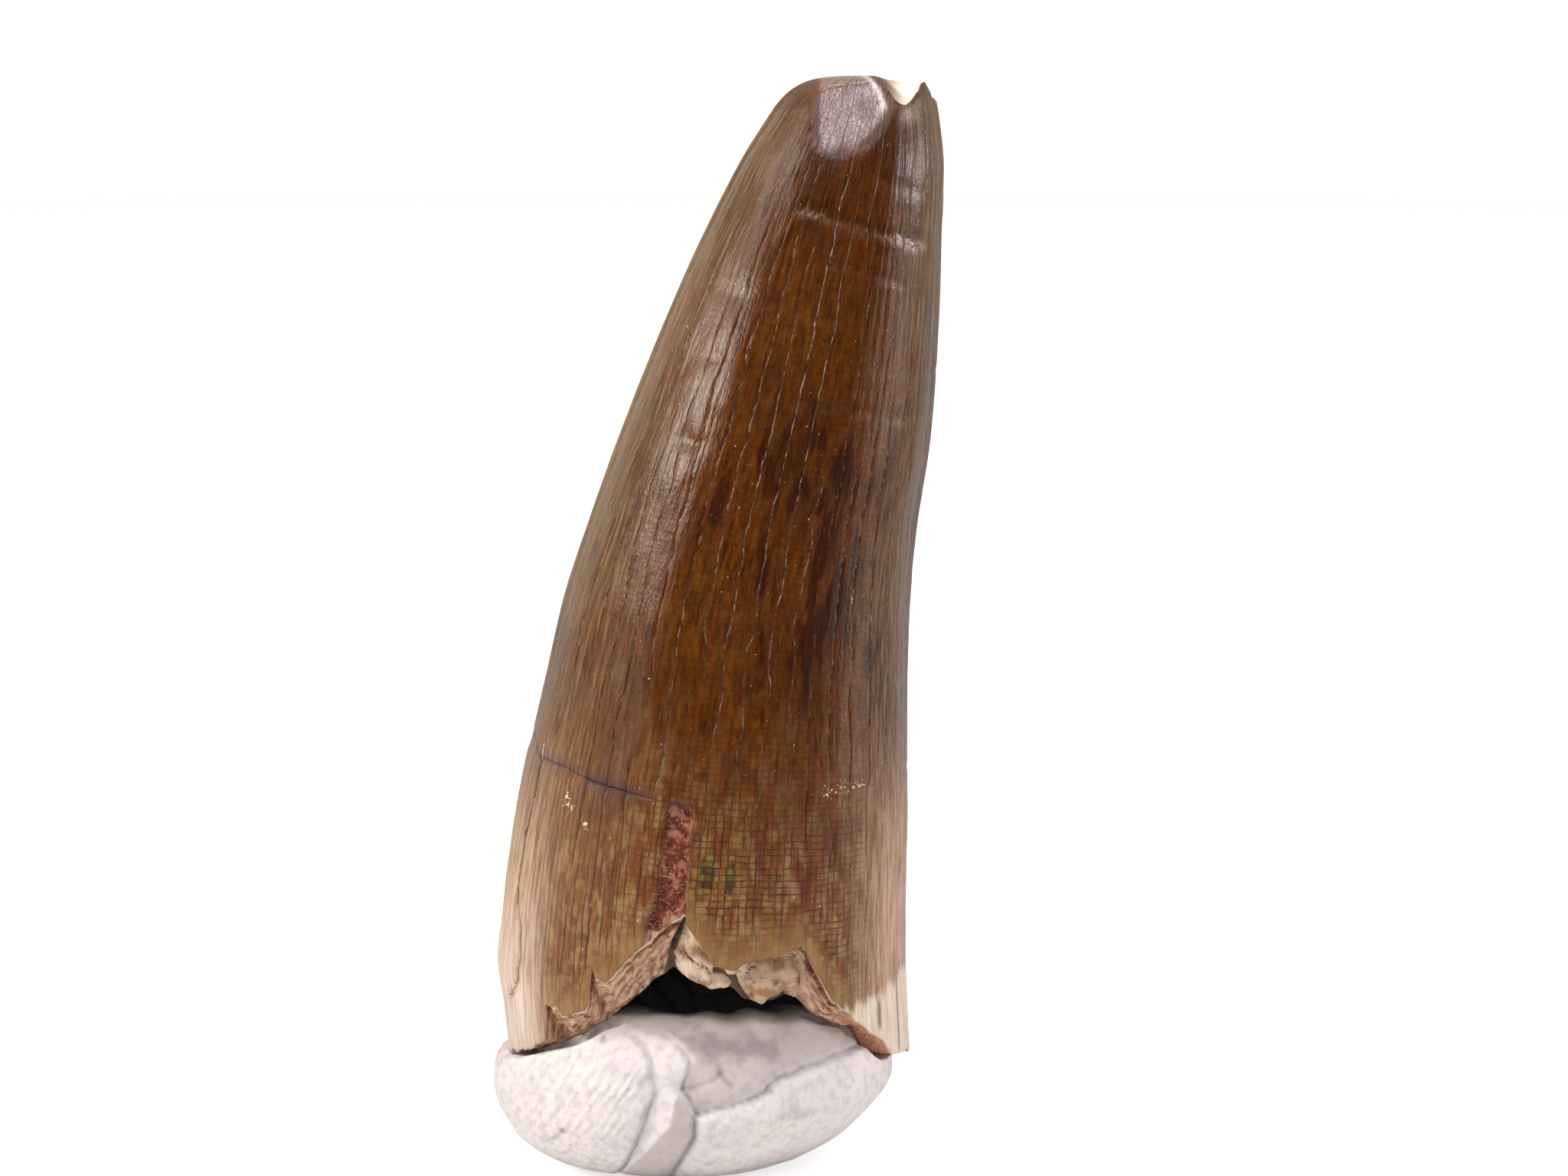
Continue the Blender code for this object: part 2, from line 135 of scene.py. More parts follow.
# %% Lattice noise
def lattice(ix, iy, seed):
    """A random value from 0 to 1 for each pair of whole numbers, by multiplying and mixing bits."""
    with np.errstate(over="ignore"):
        n = ix.astype(np.uint32) * np.uint32(374761393) + iy.astype(np.uint32) * np.uint32(668265263)
        n = n + np.uint32(seed * 144269 + 12345)
        n = (n ^ (n >> np.uint32(13))) * np.uint32(1274126177)
    return ((n ^ (n >> np.uint32(16))) & np.uint32(0xFFFFFF)) / float(0xFFFFFF)


def noise(x, y, seed, period=0):
    """Smooth noise from -1 to 1 with cells of size 1. With a period, x wraps round after that many."""
    x, y = np.broadcast_arrays(np.asarray(x, float), np.asarray(y, float))
    ix, iy = np.floor(x).astype(np.int64), np.floor(y).astype(np.int64)
    fx, fy = x - ix, y - iy
    fx, fy = fx * fx * (3 - 2 * fx), fy * fy * (3 - 2 * fy)
    left, right = (ix % period, (ix + 1) % period) if period else (ix, ix + 1)
    low = lattice(left, iy, seed) * (1 - fx) + lattice(right, iy, seed) * fx
    high = lattice(left, iy + 1, seed) * (1 - fx) + lattice(right, iy + 1, seed) * fx
    return 2 * (low * (1 - fy) + high * fy) - 1


def layered_noise(x, y, seed, layers=4, period=0):
    """Noise at doubling fineness and halving strength, for rough breaks."""
    total = 0
    for layer in range(layers):
        scale = 2 ** layer
        total = total + noise(x * scale, y * scale, seed + layer, period * scale) / scale
    return total


def around(turn, cells):
    """A turn as a position among that many noise cells, so that noise closes on itself at the back."""
    return (turn / 360 + 0.5) * cells


def turn_noise(turn, cells, y, seed, layers=1):
    """Noise with a number of cells round the tooth. With more layers it is rougher."""
    return layered_noise(around(turn, cells), y, seed, layers, cells)


print("noise at a few points:", np.round(noise(np.arange(3) + 0.5, 0.5, 1), 3))

# %% [markdown]
# ## The form of the tooth
#
# The crown is a pile of level oval sections. Each has a height, a shift to the right and half its width,
# and the tip also curls back. Fossil crocodile teeth of this kind have long flat facets that meet in
# soft edges, and a thin ridge up either side. The facets pull each section part of the way from the oval
# to the straight chord between two edges, which is what gives the long, sharp-sided highlights.

# %% Sections and facets
TOOTH_SECTIONS = (
    (4.0, 0.00, 8.60),
    (8.0, -0.23, 8.66),
    (15.0, 0.16, 8.31),
    (21.0, 0.83, 7.66),
    (24.0, 1.24, 7.36),
    (27.0, 1.87, 6.99),
    (30.0, 2.64, 6.67),
    (33.0, 3.36, 6.22),
    (39.0, 4.79, 5.02),
    (42.5, 5.72, 4.12),
    (44.6, 6.25, 3.31),
    (46.0, 6.60, 2.80),
)
DEPTH_RATIO = 0.9
BACKWARD_CURL = 2.2
FACET_EDGES = (-150.0, -118.0, -90.0, -58.0, -24.0, 26.0, 60.0, 90.0, 122.0, 158.0, 210.0)
FACET_FLATNESS = 0.30
FACET_WANDER = 2.2
FACET_SOFTNESS = 5.0
FACET_START = 12.0
FACET_FULL = 26.0
EDGE_RIDGE = 0.14
EDGE_RIDGE_WIDTH = 5.0


def chord_share(turn):
    """Distance to the chord between the two nearest facet edges, as a share of the round radius."""
    edges = np.array(FACET_EDGES)
    wrapped = np.where(turn < edges[0], turn + 360.0, turn)
    i = np.clip(np.searchsorted(edges, wrapped) - 1, 0, len(edges) - 2)
    middle = np.radians((edges[i] + edges[i + 1]) / 2)
    half_span = np.radians((edges[i + 1] - edges[i]) / 2)
    return np.cos(half_span) / np.cos(np.radians(wrapped) - middle)


def facet_factor(turn, height):
    """1 on the round section and less where the facets pull it in.

    Slow noise bends the facet edges to either side, and an average over a few degrees softens them.
    """
    turn = turn + FACET_WANDER * turn_noise(turn, 24, height / 2.6, 11)
    shifts = FACET_SOFTNESS * np.linspace(-1, 1, 5)
    chord = sum(chord_share(turn + shift) for shift in shifts) / len(shifts)
    return 1 - FACET_FLATNESS * ease(height, FACET_START, FACET_FULL) * (1 - chord)


def plain_half_width(turn, height):
    """Half the width of a level section, with the facets and the two side ridges."""
    half = smooth_curve(height, TOOTH_SECTIONS, 2) * facet_factor(turn, height)
    ridge = hump(abs(turn), 90.0, EDGE_RIDGE_WIDTH) - 1
    return half + EDGE_RIDGE * ridge * ease(height, FACET_START, FACET_FULL)


def section_point(turn, height, half):
    """Point of a level section: an oval about the curved axis, flatter from front to back."""
    angle = np.radians(turn)
    rise = np.clip((height - BASE_HEIGHT) / (TOP_HEIGHT - BASE_HEIGHT), 0.0, 1.2)
    x = BASE_X + smooth_curve(height, TOOTH_SECTIONS, 1) + half * np.sin(angle)
    y = BASE_Y + BACKWARD_CURL * rise ** 2 - DEPTH_RATIO * half * np.cos(angle)
    return np.stack([x, y, height + 0 * x], axis=-1)


# %% [markdown]
# ## Growth level
#
# A tooth grows in rings, and each ring lies square to the leaning axis, not level. The growth level of a
# point is its height, corrected for that tilt. Rings, crazing and colour bands all follow it.

# %% Growth level
RING_TILT = ((10.0, 0.03), (17.0, 0.08), (32.0, 0.17), (39.0, 0.25), (46.0, 0.30))


def growth_level(turn, height):
    """Height plus the tilt at that height, times how far to the right the point stands."""
    sideways = smooth_curve(height, TOOTH_SECTIONS, 2) * np.sin(np.radians(turn))
    return height + straight_curve(height, RING_TILT) * sideways


# %% [markdown]
# ## The flaked strip and the loose plate
#
# Above the notch a narrow strip of enamel has flaked off and shows rusty dentine. At the left a long
# crack, partly filled with cream sediment, frees a plate of enamel that stands a little proud and bulges
# near its lower end.

# %% The flaked strip and the loose plate
STRIP_LEFT = (
    (11.0, -15.9), (11.8, -15.4), (12.4, -14.6), (12.9, -13.6), (13.7, -13.4), (14.8, -13.6),
    (16.0, -13.3), (16.6, -12.6),
)
STRIP_RIGHT = (
    (11.0, -4.9), (12.2, -5.1), (12.9, -5.6), (13.7, -5.6), (14.8, -5.3), (16.2, -5.5), (16.6, -6.0),
)
STRIP_TOP = 16.5
STRIP_DEPTH = 0.35
SIDE_CRACK = (
    (6.8, -74.0), (7.3, -70.0), (8.2, -64.5), (9.3, -62.8), (10.3, -63.5), (11.1, -66.5), (12.1, -69.0),
    (13.2, -69.2), (14.4, -68.6), (15.8, -67.6), (16.6, -67.4), (17.6, -68.5),
)
PLATE_TURN = -78.0
PLATE_WIDTH = 8.0
PLATE_HEIGHT = 8.7
PLATE_SPREAD = 1.3
PLATE_RISE = 0.20


def strip_mask(turn, height):
    """1 inside the strip and 0 on sound enamel, between two wandering edges and under a ragged top."""
    ragged = 0.5 * turn_noise(turn, 180, height * 3.1, 21)
    left = straight_curve(height, STRIP_LEFT) + 0.35 * layered_noise(0, height * 3.7, 22, 3)
    right = straight_curve(height, STRIP_RIGHT) + 0.25 * layered_noise(0, height * 3.3, 23, 3)
    across = ease(turn, left - 0.3, left + 0.3) - ease(turn, right - 0.3, right + 0.3)
    return np.clip(across, 0, 1) * (1 - ease(height + 0.14 * ragged, STRIP_TOP - 0.12, STRIP_TOP + 0.12))


def crack_offset(turn, height):
    """Degrees to the right of the side crack, negative on the loose plate."""
    wander = 0.5 * noise(0, height * 2.1, 24) + 0.25 * noise(0, height * 6.0, 25)
    return turn - straight_curve(height, SIDE_CRACK) - wander


def plate_relief(turn, height):
    """The plate stands proud of the crack, and a groove runs along the crack itself."""
    beside = crack_offset(turn, height)
    span = ease(height, 6.6, 7.6) * (1 - ease(height, 17.3, 17.6))
    proud = 0.06 * (1 - ease(beside, -0.5, 0.0)) * ease(turn, -108.0, -88.0)
    groove = -0.13 * hump(beside, 0.25, 0.75)
    bulge = PLATE_RISE * hump(turn, PLATE_TURN, PLATE_WIDTH) * hump(height, PLATE_HEIGHT, PLATE_SPREAD)
    return (proud + groove) * span + bulge


# %% [markdown]
# ## Relief on the enamel
#
# Close up, the enamel has four kinds of relief: fine ribs along the tooth, long hairline cracks that
# wander up it about every millimetre, a few growth rings and dents across it, and slow waves from one
# band to the next. The cracks are one formula: a phase that grows by one from crack to crack. A
# material can read the same phase later, so the dark lines lie exactly in the grooves.

# %% Cracks, rings and dents
CRACK_COUNT = 46
CRACK_WIDTH = 0.06
CRACK_DEPTH = 0.018
RIB_CELLS = 190
UNEVEN_RISE = 0.042
# Growth rings: level, depth, first and last turn
RINGS = (
    (32.85, 0.045, -14.0, 66.0),
    (38.40, 0.050, -2.0, 50.0),
    (40.15, 0.150, -22.0, 66.0),
    (42.05, 0.045, 16.0, 62.0),
    (36.30, 0.028, -70.0, 20.0),
    (34.60, 0.030, 30.0, 120.0),
    (28.20, 0.040, 100.0, 181.0),
    (23.60, 0.040, -170.0, -100.0),
)
# The main ring, a crack above the woven zone: turn and height
MAIN_RING = (
    (-180.0, 17.2), (-115.0, 18.2), (-80.0, 18.0), (-69.4, 17.52), (-51.2, 17.48), (-38.6, 17.22),
    (-30.2, 17.05), (-21.9, 16.87), (-13.5, 16.66), (-4.2, 16.3), (3.0, 16.15), (18.0, 16.4),
    (32.6, 16.81), (44.1, 16.67), (58.4, 16.70), (73.4, 16.47), (130.0, 16.7), (180.0, 17.2),
)
# Dents: turn, height, half width in degrees, half height, rise
DENTS = (
    (-38.0, 34.45, 7.0, 0.16, -0.060),
    (-42.0, 33.45, 6.0, 0.30, 0.020),
    (-33.0, 31.00, 9.0, 0.25, -0.090),
    (-38.0, 31.45, 3.0, 0.30, -0.045),
    (-29.0, 29.90, 5.0, 0.35, 0.045),
    (-24.0, 32.10, 4.0, 0.25, -0.030),
    (38.0, 39.05, 6.0, 0.35, 0.090),
    (-8.0, 40.10, 8.0, 0.40, 0.050),
    (32.0, 37.70, 9.0, 0.30, 0.030),
    (-33.0, 36.80, 4.0, 0.40, -0.030),
    (24.0, 34.00, 3.0, 0.30, -0.030),
    (72.0, 27.50, 10.0, 1.10, -0.060),
)


def crack_phase(turn, level):
    """Grows by one from crack to crack round the tooth, bent by noise at three scales."""
    slow = 0.50 * turn_noise(turn, 13, level / 11.0, 31)
    middle = 0.15 * turn_noise(turn, 46, level / 1.5, 32)
    quick = 0.055 * turn_noise(turn, 184, level / 0.45, 33)
    return around(turn, CRACK_COUNT) + slow + middle + quick


def crack_presence(turn, level):
    """How open each crack is at each level: cracks start and stop, and only some reach the tip."""
    number = np.floor(crack_phase(turn, level)) % CRACK_COUNT
    along = noise(number * 7.31, level / 6.5, 34)
    shortness = lattice(number.astype(np.int64), 0 * number.astype(np.int64), 42)
    last = 46.0 - 18.0 * ease(shortness, 0.45, 1.0)
    return ease(along, -0.75, -0.40) * (1 - ease(level, last - 2.0, last + 2.0))


def crack_distance(turn, height, level):
    """Distance in millimetres from the middle of the nearest crack."""
    phase = crack_phase(turn, level)
    spacing = 2 * np.pi * 0.95 * smooth_curve(height, TOOTH_SECTIONS, 2) / CRACK_COUNT
    return np.abs(phase - np.floor(phase) - 0.5) * spacing


def ring_gap(turn, level, at):
    """Distance above a ring, whose line wobbles a little round the tooth."""
    return level - at - 0.10 * turn_noise(turn, 30, at, 35) - 0.04 * turn_noise(turn, 120, at, 43)


def above_main_ring(turn, height):
    """Distance above the main ring."""
    return height - straight_curve(turn, MAIN_RING) - 0.07 * turn_noise(turn, 40, 1.5, 44)


def ring_sum(turn, level, profile):
    """Sum over the rings: a profile of the gap above each, times the ring's depth, over its span."""
    total = 0
    for at, depth, first, last in RINGS:
        span = ease(turn, first, first + 6.0) * (1 - ease(turn, last - 6.0, last))
        patchy = 0.75 + 0.25 * turn_noise(turn, 60, at, 36)
        total = total + depth * profile(ring_gap(turn, level, at)) * span * patchy
    return total


def ledge(gap):
    """Coming up to a ring, the surface sinks over half a millimetre, then steps out again."""
    return ease(gap, -0.48, -0.04) * (1 - ease(gap, 0.0, 0.20))


def enamel_relief(turn, height):
    """All the fine relief of the outer wall, in millimetres outwards."""
    level = growth_level(turn, height)
    ribs = 0.008 * turn_noise(turn, RIB_CELLS, level / 5.0, 37)
    ribs = ribs + 0.005 * turn_noise(turn, 2 * RIB_CELLS, level / 2.5, 38)
    waves = 0.030 * turn_noise(turn, 14, level / 5.0, 39)
    waves = waves + 0.010 * turn_noise(turn, 30, level / 0.9, 40)
    uneven = ease(turn, -80.0, -64.0) * (1 - ease(turn, -18.0, -8.0)) * ease(height, 24.0, 29.0)
    waves = waves + UNEVEN_RISE * uneven * turn_noise(turn, 26, level / 1.8, 45, 2)
    cracks = -CRACK_DEPTH * hump(crack_distance(turn, height, level), 0.0, CRACK_WIDTH)
    cracks = cracks * crack_presence(turn, level)
    open_ring = 1 - 0.75 * ease(turn, -12.0, -2.0) * (1 - ease(turn, 60.0, 80.0))
    main_ring_groove = 0.05 * open_ring * hump(above_main_ring(turn, height), 0.0, 0.16)
    rings = -ring_sum(turn, level, ledge) - main_ring_groove
    fade_at_tip = 1 - ease(height, 44.2, 45.2)
    return (ribs + waves + cracks + rings + marks(turn, height, DENTS)) * fade_at_tip


def half_width(turn, height):
    """Half width of the finished outer wall, with the relief, the plate, and the rough strip cut in."""
    strip = strip_mask(turn, height)
    rough = 0.05 * turn_noise(turn, 260, height * 4.5, 41, 2)
    sound = enamel_relief(turn, height) + plate_relief(turn, height)
    return plain_half_width(turn, height) + sound * (1 - strip) - (STRIP_DEPTH + rough) * strip


# %% [markdown]
# ## The broken tip
#
# The tip is worn to a dome on its left. On its right a scoop has broken out, and leaves a sharp spur of
# enamel at its edge. The outer wall ends at a rim whose height changes round the tooth, and a cap runs
# from the rim to the middle: a flattened dome, handed over to the dished floor of the break. Last, the
# front of the tip is ground to a slanting flat, part of it polished, with a gleaming right-hand rim.

# %% The broken tip
DOME_RIM = ((-180.0, 44.4), (-90.0, 44.1), (-40.0, 44.3), (0.0, 44.7), (90.0, 44.6), (180.0, 44.4))
DOME_ROUNDNESS = 4.0
BREAK_START = 0.50
BREAK_FULL = 2.00
BREAK_HEIGHT = 44.2
SPUR_TURN = 61.0
SPUR_WIDTH = 16.0
SPUR_RISE = 0.80
BEVEL_TURN = 100.0
BEVEL_WIDTH = 20.0
BEVEL_DROP = 0.50
BREAK_TILT = 0.24
BREAK_FRONT = -0.6
WEAR_TURN = -3.0
WEAR_TILT = 34.0
WEAR_HEIGHT = 42.6
WEAR_ROUND = 0.07
POLISH_LEFT = 4.70
POLISH_LOW = 42.85
# The curved right edge of the shiny part, across at each height
POLISH_RIGHT = (
    (42.5, 5.90), (42.8, 6.10), (43.1, 6.35), (43.35, 6.67), (43.65, 6.94), (44.15, 7.26), (44.4, 7.46),
    (44.6, 7.45), (45.05, 7.22), (45.45, 6.92), (45.6, 6.75),
)


def wear_plane():
    """The direction that the worn flat faces, and a point of it."""
    turn, tilt = np.radians(WEAR_TURN), np.radians(WEAR_TILT)
    outwards = np.array([np.sin(turn) * np.cos(tilt), -np.cos(turn) * np.cos(tilt), np.sin(tilt)])
    low_turn, low_height = np.array(WEAR_TURN), np.array(WEAR_HEIGHT)
    return outwards, section_point(low_turn, low_height, plain_half_width(low_turn, low_height))


def worn(point):
    """Grind the front of the tip to a flat whose edge is a little rounded."""
    outwards, low = wear_plane()
    over = (point - low) @ outwards
    ground = (over + np.sqrt(over ** 2 + WEAR_ROUND ** 2)) / 2
    return point - ground[..., None] * outwards


def on_flat(point):
    """1 on the worn flat and on the round of its upper rim."""
    outwards, low = wear_plane()
    return np.maximum(1 - ease((low - point) @ outwards, 0.02, 0.07), ease(point[..., 2], 44.6, 44.9))


def polish(point):
    """1 on the shiny part of the worn front: a straight edge on the left and a ragged one below."""
    across, up = point[..., 0] - BASE_X, point[..., 2]
    left = POLISH_LEFT + 0.06 * noise(up * 2.3, 0.5, 55)
    right = straight_curve(up, POLISH_RIGHT) + 0.08 * noise(up * 2.9, 3.5, 58)
    low_edge = POLISH_LOW + 0.22 * noise(across * 1.6, 0.5, 56) + 0.08 * noise(across * 5.0, 2.5, 57)
    beside = ease(across, left - 0.08, left + 0.08) * (1 - ease(across, right - 0.10, right + 0.10))
    return beside * ease(up, low_edge - 0.25, low_edge + 0.25)


def gleam(point):
    """1 on the smooth rounded rim along the right edge of the shiny part."""
    across, up = point[..., 0] - BASE_X, point[..., 2]
    ragged = 0.10 * noise(up * 4.0, 1.5, 60)
    return hump(across - straight_curve(up, POLISH_RIGHT) + ragged, -0.16, 0.13) * ease(up, 44.1, 44.5)


def dulled(point):
    """1 on the duller spots of the worn front: beside the gleaming rim, and low down."""
    across, up = point[..., 0] - BASE_X, point[..., 2]
    spot = 0.75 * hump(across, 6.45, 0.34) * hump(up, 44.5, 0.36)
    patchy = 0.25 * ease(layered_noise(across * 1.6, up * 1.3, 59, 3), 0.0, 0.5)
    return np.clip(spot + patchy + 0.15 * (1 - ease(up, 42.9, 43.9)), 0, 1)


def break_share(x, y):
    """0 on the worn dome and 1 on the break, whose edge wanders from front to back."""
    centre = BASE_X + smooth_curve(np.array(TOP_HEIGHT), TOOTH_SECTIONS, 1)
    wander = 0.22 * noise(y * 0.9, 3.5, 51) + 0.08 * noise(y * 3.0, 7.5, 52)
    return ease(x - centre + wander, BREAK_START, BREAK_FULL)


def rim_height(turn):
    """Height where the outer wall ends: the dome's rim, the break, and the spur."""
    dome = straight_curve(turn, DOME_RIM)
    point = section_point(turn, dome, plain_half_width(turn, dome))
    broken = BREAK_HEIGHT + SPUR_RISE * hump(turn, SPUR_TURN, SPUR_WIDTH)
    broken = broken - BEVEL_DROP * hump(turn, BEVEL_TURN, BEVEL_WIDTH)
    broken = broken + BREAK_TILT * (point[..., 1] - BREAK_FRONT)
    broken = broken + 0.07 * turn_noise(turn, 60, 2.5, 53, 3)
    dome_edge = dome + (TOP_HEIGHT - dome) * hump(turn, 16.0, 14.0)
    return dome_edge + (broken - dome_edge) * break_share(point[..., 0], point[..., 1])


def tip_cap(turn, s):
    """The top, from the rim at s = 1 to the pole at s = 0.

    Level position: straight from the rim to the pole. Height: a flattened dome on the left, and on the
    right the dished, rough floor of the break, which meets the wall in a sharp edge.
    """
    rim_z = rim_height(turn)
    rim = section_point(turn, rim_z, half_width(turn, rim_z))
    top = np.array(TOP_HEIGHT)
    point = section_point(np.array(0.0), top, np.array(0.0)) + 0 * rim
    point = point + (rim - point) * s[..., None]
    dome = TOP_HEIGHT - (TOP_HEIGHT - rim_z) * s ** DOME_ROUNDNESS
    rough = 0.09 * layered_noise(point[..., 0] * 1.3, point[..., 1] * 1.3, 54, 4) * (1 - ease(s, 0.9, 1.0))
    slope = BREAK_TILT * (point[..., 1] - BREAK_FRONT)
    floor = BREAK_HEIGHT + slope - 0.25 * (1 - s ** 2) + rough
    floor = floor + (rim_z - floor) * ease(s, 0.80, 1.0)
    share = break_share(point[..., 0], point[..., 1])
    point[..., 2] = dome + (floor - dome) * share
    return worn(point)


# %% [markdown]
# ## The fractured base
#
# The lower edge of the enamel and the edge of the pulp cavity are two ragged lines round the tooth,
# given as turns and heights. Between them lies the broken face of the wall. It slopes inwards and down,
# so the front shows it as a band of cream dentine, undercut below the lip of enamel in the middle.

# %% The two ragged edges
OUTER_EDGE = (
    (-180.0, 5.8), (-163.0, 5.1), (-150.0, 6.1), (-136.0, 5.0), (-118.0, 5.6), (-100.0, 4.6),
    (-77.0, 4.6), (-59.5, 5.3), (-50.0, 6.0), (-49.0, 7.6), (-44.0, 7.75), (-42.0, 7.4), (-33.8, 7.7),
    (-32.4, 8.1), (-31.8, 9.85), (-30.2, 9.2), (-26.8, 9.1), (-17.8, 10.6), (-10.1, 11.6), (-5.3, 12.1),
    (-3.9, 11.6), (2.1, 10.35), (3.4, 10.0), (9.2, 9.75), (11.7, 10.0), (20.4, 10.3), (29.2, 10.5),
    (33.0, 9.45), (38.5, 8.1), (42.8, 7.6), (56.0, 6.0), (66.0, 4.9), (87.0, 4.3), (104.0, 4.7),
    (117.0, 5.5), (131.0, 4.9), (148.0, 6.2), (162.0, 5.2), (180.0, 5.8),
)
INNER_EDGE = (
    (-180.0, 5.3), (-160.0, 5.6), (-140.0, 5.2), (-120.0, 5.0), (-98.0, 4.9), (-77.0, 4.7),
    (-58.5, 5.5), (-49.5, 5.9), (-40.0, 6.5), (-33.0, 7.1), (-26.5, 7.7), (-20.0, 8.45), (-12.2, 9.3),
    (-9.0, 9.55), (-5.8, 9.25), (-1.0, 9.0), (5.0, 8.8), (11.1, 8.65), (13.3, 8.35), (17.4, 8.12),
    (23.8, 8.1), (28.2, 8.25), (33.0, 7.95), (36.0, 7.5), (41.0, 7.08), (51.0, 6.6), (55.6, 6.15),
    (59.5, 5.6), (63.2, 5.05), (67.5, 4.8), (80.0, 4.75), (104.0, 5.1), (125.0, 5.3), (150.0, 5.6),
    (180.0, 5.3),
)
WALL = 1.2
LIP_TURN = 10.0
LIP_SPREAD = 19.0
LIP_LAST = 30.0
CREVICE_TURN = -5.0
CREVICE_SLANT = 8.0
RECESS = 0.50
# Lumps of cream matrix on the broken face:
# turn, share of the way in, half width in degrees, half share, rise
LUMPS = (
    (-2.8, 0.40, 5.4, 0.36, 0.62), (0.5, 0.86, 8.5, 0.20, 0.46), (-8.5, 0.30, 1.8, 0.14, 0.30),
    (-7.0, 0.62, 1.8, 0.14, 0.30), (4.0, 0.20, 3.5, 0.20, 0.40), (9.6, 0.36, 3.0, 0.30, 0.42),
    (21.5, 0.64, 10.0, 0.32, 0.84), (14.0, 0.40, 3.6, 0.24, 0.62), (24.0, 0.20, 8.0, 0.16, 0.56),
    (30.5, 0.50, 3.0, 0.30, 0.52), (29.0, 0.92, 3.4, 0.14, 0.44), (33.0, 0.72, 3.4, 0.30, 0.46),
    (38.0, 0.78, 4.2, 0.28, 0.42), (44.5, 0.70, 4.6, 0.30, 0.28), (-24.0, 0.72, 6.0, 0.26, 0.16),
    (-38.0, 0.55, 5.5, 0.35, 0.22), (-110.0, 0.5, 14.0, 0.4, 0.25), (105.0, 0.5, 12.0, 0.4, 0.25),
    (140.0, 0.55, 9.0, 0.4, 0.30), (-150.0, 0.5, 11.0, 0.45, 0.30), (172.0, 0.5, 10.0, 0.4, 0.25),
)
CAVITY_APEX = 20.5
CAVITY_POWER = 2.2
# Iron stains on the broken face: turn, share of the way in, half width in degrees, half share, strength
FACE_RUST = (
    (-11.0, 0.16, 5.5, 0.07, 1.0), (-20.0, 0.14, 4.0, 0.05, 0.6), (-48.6, 0.10, 0.9, 0.16, 1.0),
    (-46.5, 0.45, 1.4, 0.18, 0.5), (-31.6, 0.08, 0.8, 0.14, 1.0), (-31.9, 0.5, 0.5, 0.4, 0.6),
    (29.6, 0.06, 1.6, 0.07, 1.0), (32.5, 0.14, 1.6, 0.10, 0.9), (35.5, 0.16, 2.0, 0.10, 0.8),
    (39.5, 0.18, 2.4, 0.12, 0.7), (27.0, 0.10, 2.0, 0.06, 0.5), (52.0, 0.6, 9.0, 0.3, 0.30),
    (120.0, 0.4, 10.0, 0.5, 0.6), (-140.0, 0.5, 12.0, 0.6, 0.5), (165.0, 0.3, 9.0, 0.4, 0.6),
)


def outer_edge(turn):
    """Height of the enamel's broken edge, splintered except on the clean lip in the middle."""
    clean = hump(turn, 8.0, 14.0)
    splinters = 0.13 * turn_noise(turn, 110, 0.5, 61, 3) * (1 - 0.7 * clean)
    return straight_curve(turn, OUTER_EDGE) + splinters


def inner_edge(turn):
    """Height of the edge where the broken face meets the cavity."""
    return smooth_curve(turn, INNER_EDGE, 1) + 0.07 * turn_noise(turn, 90, 0.5, 62, 3)


def outer_wall(turn, s):
    """The enamel, from the tip's rim at s = 0 to the broken edge at s = 1."""
    top, bottom = rim_height(turn), outer_edge(turn)
    height = top + (bottom - top) * s
    return worn(section_point(turn, height, half_width(turn, height)))


def cavity_wall(turn, s):
    """The pulp cavity: a wall's thickness inside the outer wall, closing in to an apex at s = 1."""
    bottom = inner_edge(turn)
    height = bottom + (CAVITY_APEX - bottom) * s
    rise = np.clip((height - BASE_HEIGHT) / (CAVITY_APEX - BASE_HEIGHT), 0.0, 1.0)
    half = smooth_curve(height, TOOTH_SECTIONS, 2) - WALL
    half = half + 0.06 * turn_noise(turn, 40, height * 0.7, 63)
    return section_point(turn, height, half * (1 - rise ** CAVITY_POWER) ** 0.6)


def behind_lip(turn, s):
    """1 where the broken face is recessed under the lip, from a slanting crevice to the lip's end."""
    right_of_crevice = ease(turn - CREVICE_TURN + CREVICE_SLANT * s, -0.5, 1.0)
    return right_of_crevice * (1 - ease(turn, LIP_LAST - 1.5, LIP_LAST + 4.0))


def matrix_lumps(turn, s):
    """Heights of the highest lump and the second highest at each point: crevices lie where they meet."""
    warped_turn = turn + 2.0 * turn_noise(turn, 90, s * 3.0, 66) + 0.8 * turn_noise(turn, 220, s * 8.0, 67)
    warped_s = s + 0.10 * turn_noise(turn, 80, s * 2.5 + 5.0, 68) + 0.04 * turn_noise(turn, 240, s * 7.0, 69)
    highest = second = 0 * turn
    for at, share, half_turn, half_share, rise in LUMPS:
        apart = ((warped_turn - at) / half_turn) ** 2 + ((warped_s - share) / half_share) ** 2
        height = rise * np.clip(1.15 - apart, 0.0, 0.8) ** 0.7
        second = np.maximum(second, np.minimum(highest, height))
        highest = np.maximum(highest, height)
    return highest, second


def pit(turn, s):
    """1 in the deep crevice that slants down to the left from the top of the notch."""
    beside = hump(turn - CREVICE_TURN + CREVICE_SLANT * s, 0.9, 1.2)
    return beside * ease(s, 0.02, 0.08) * (1 - ease(s, 0.55, 0.8))


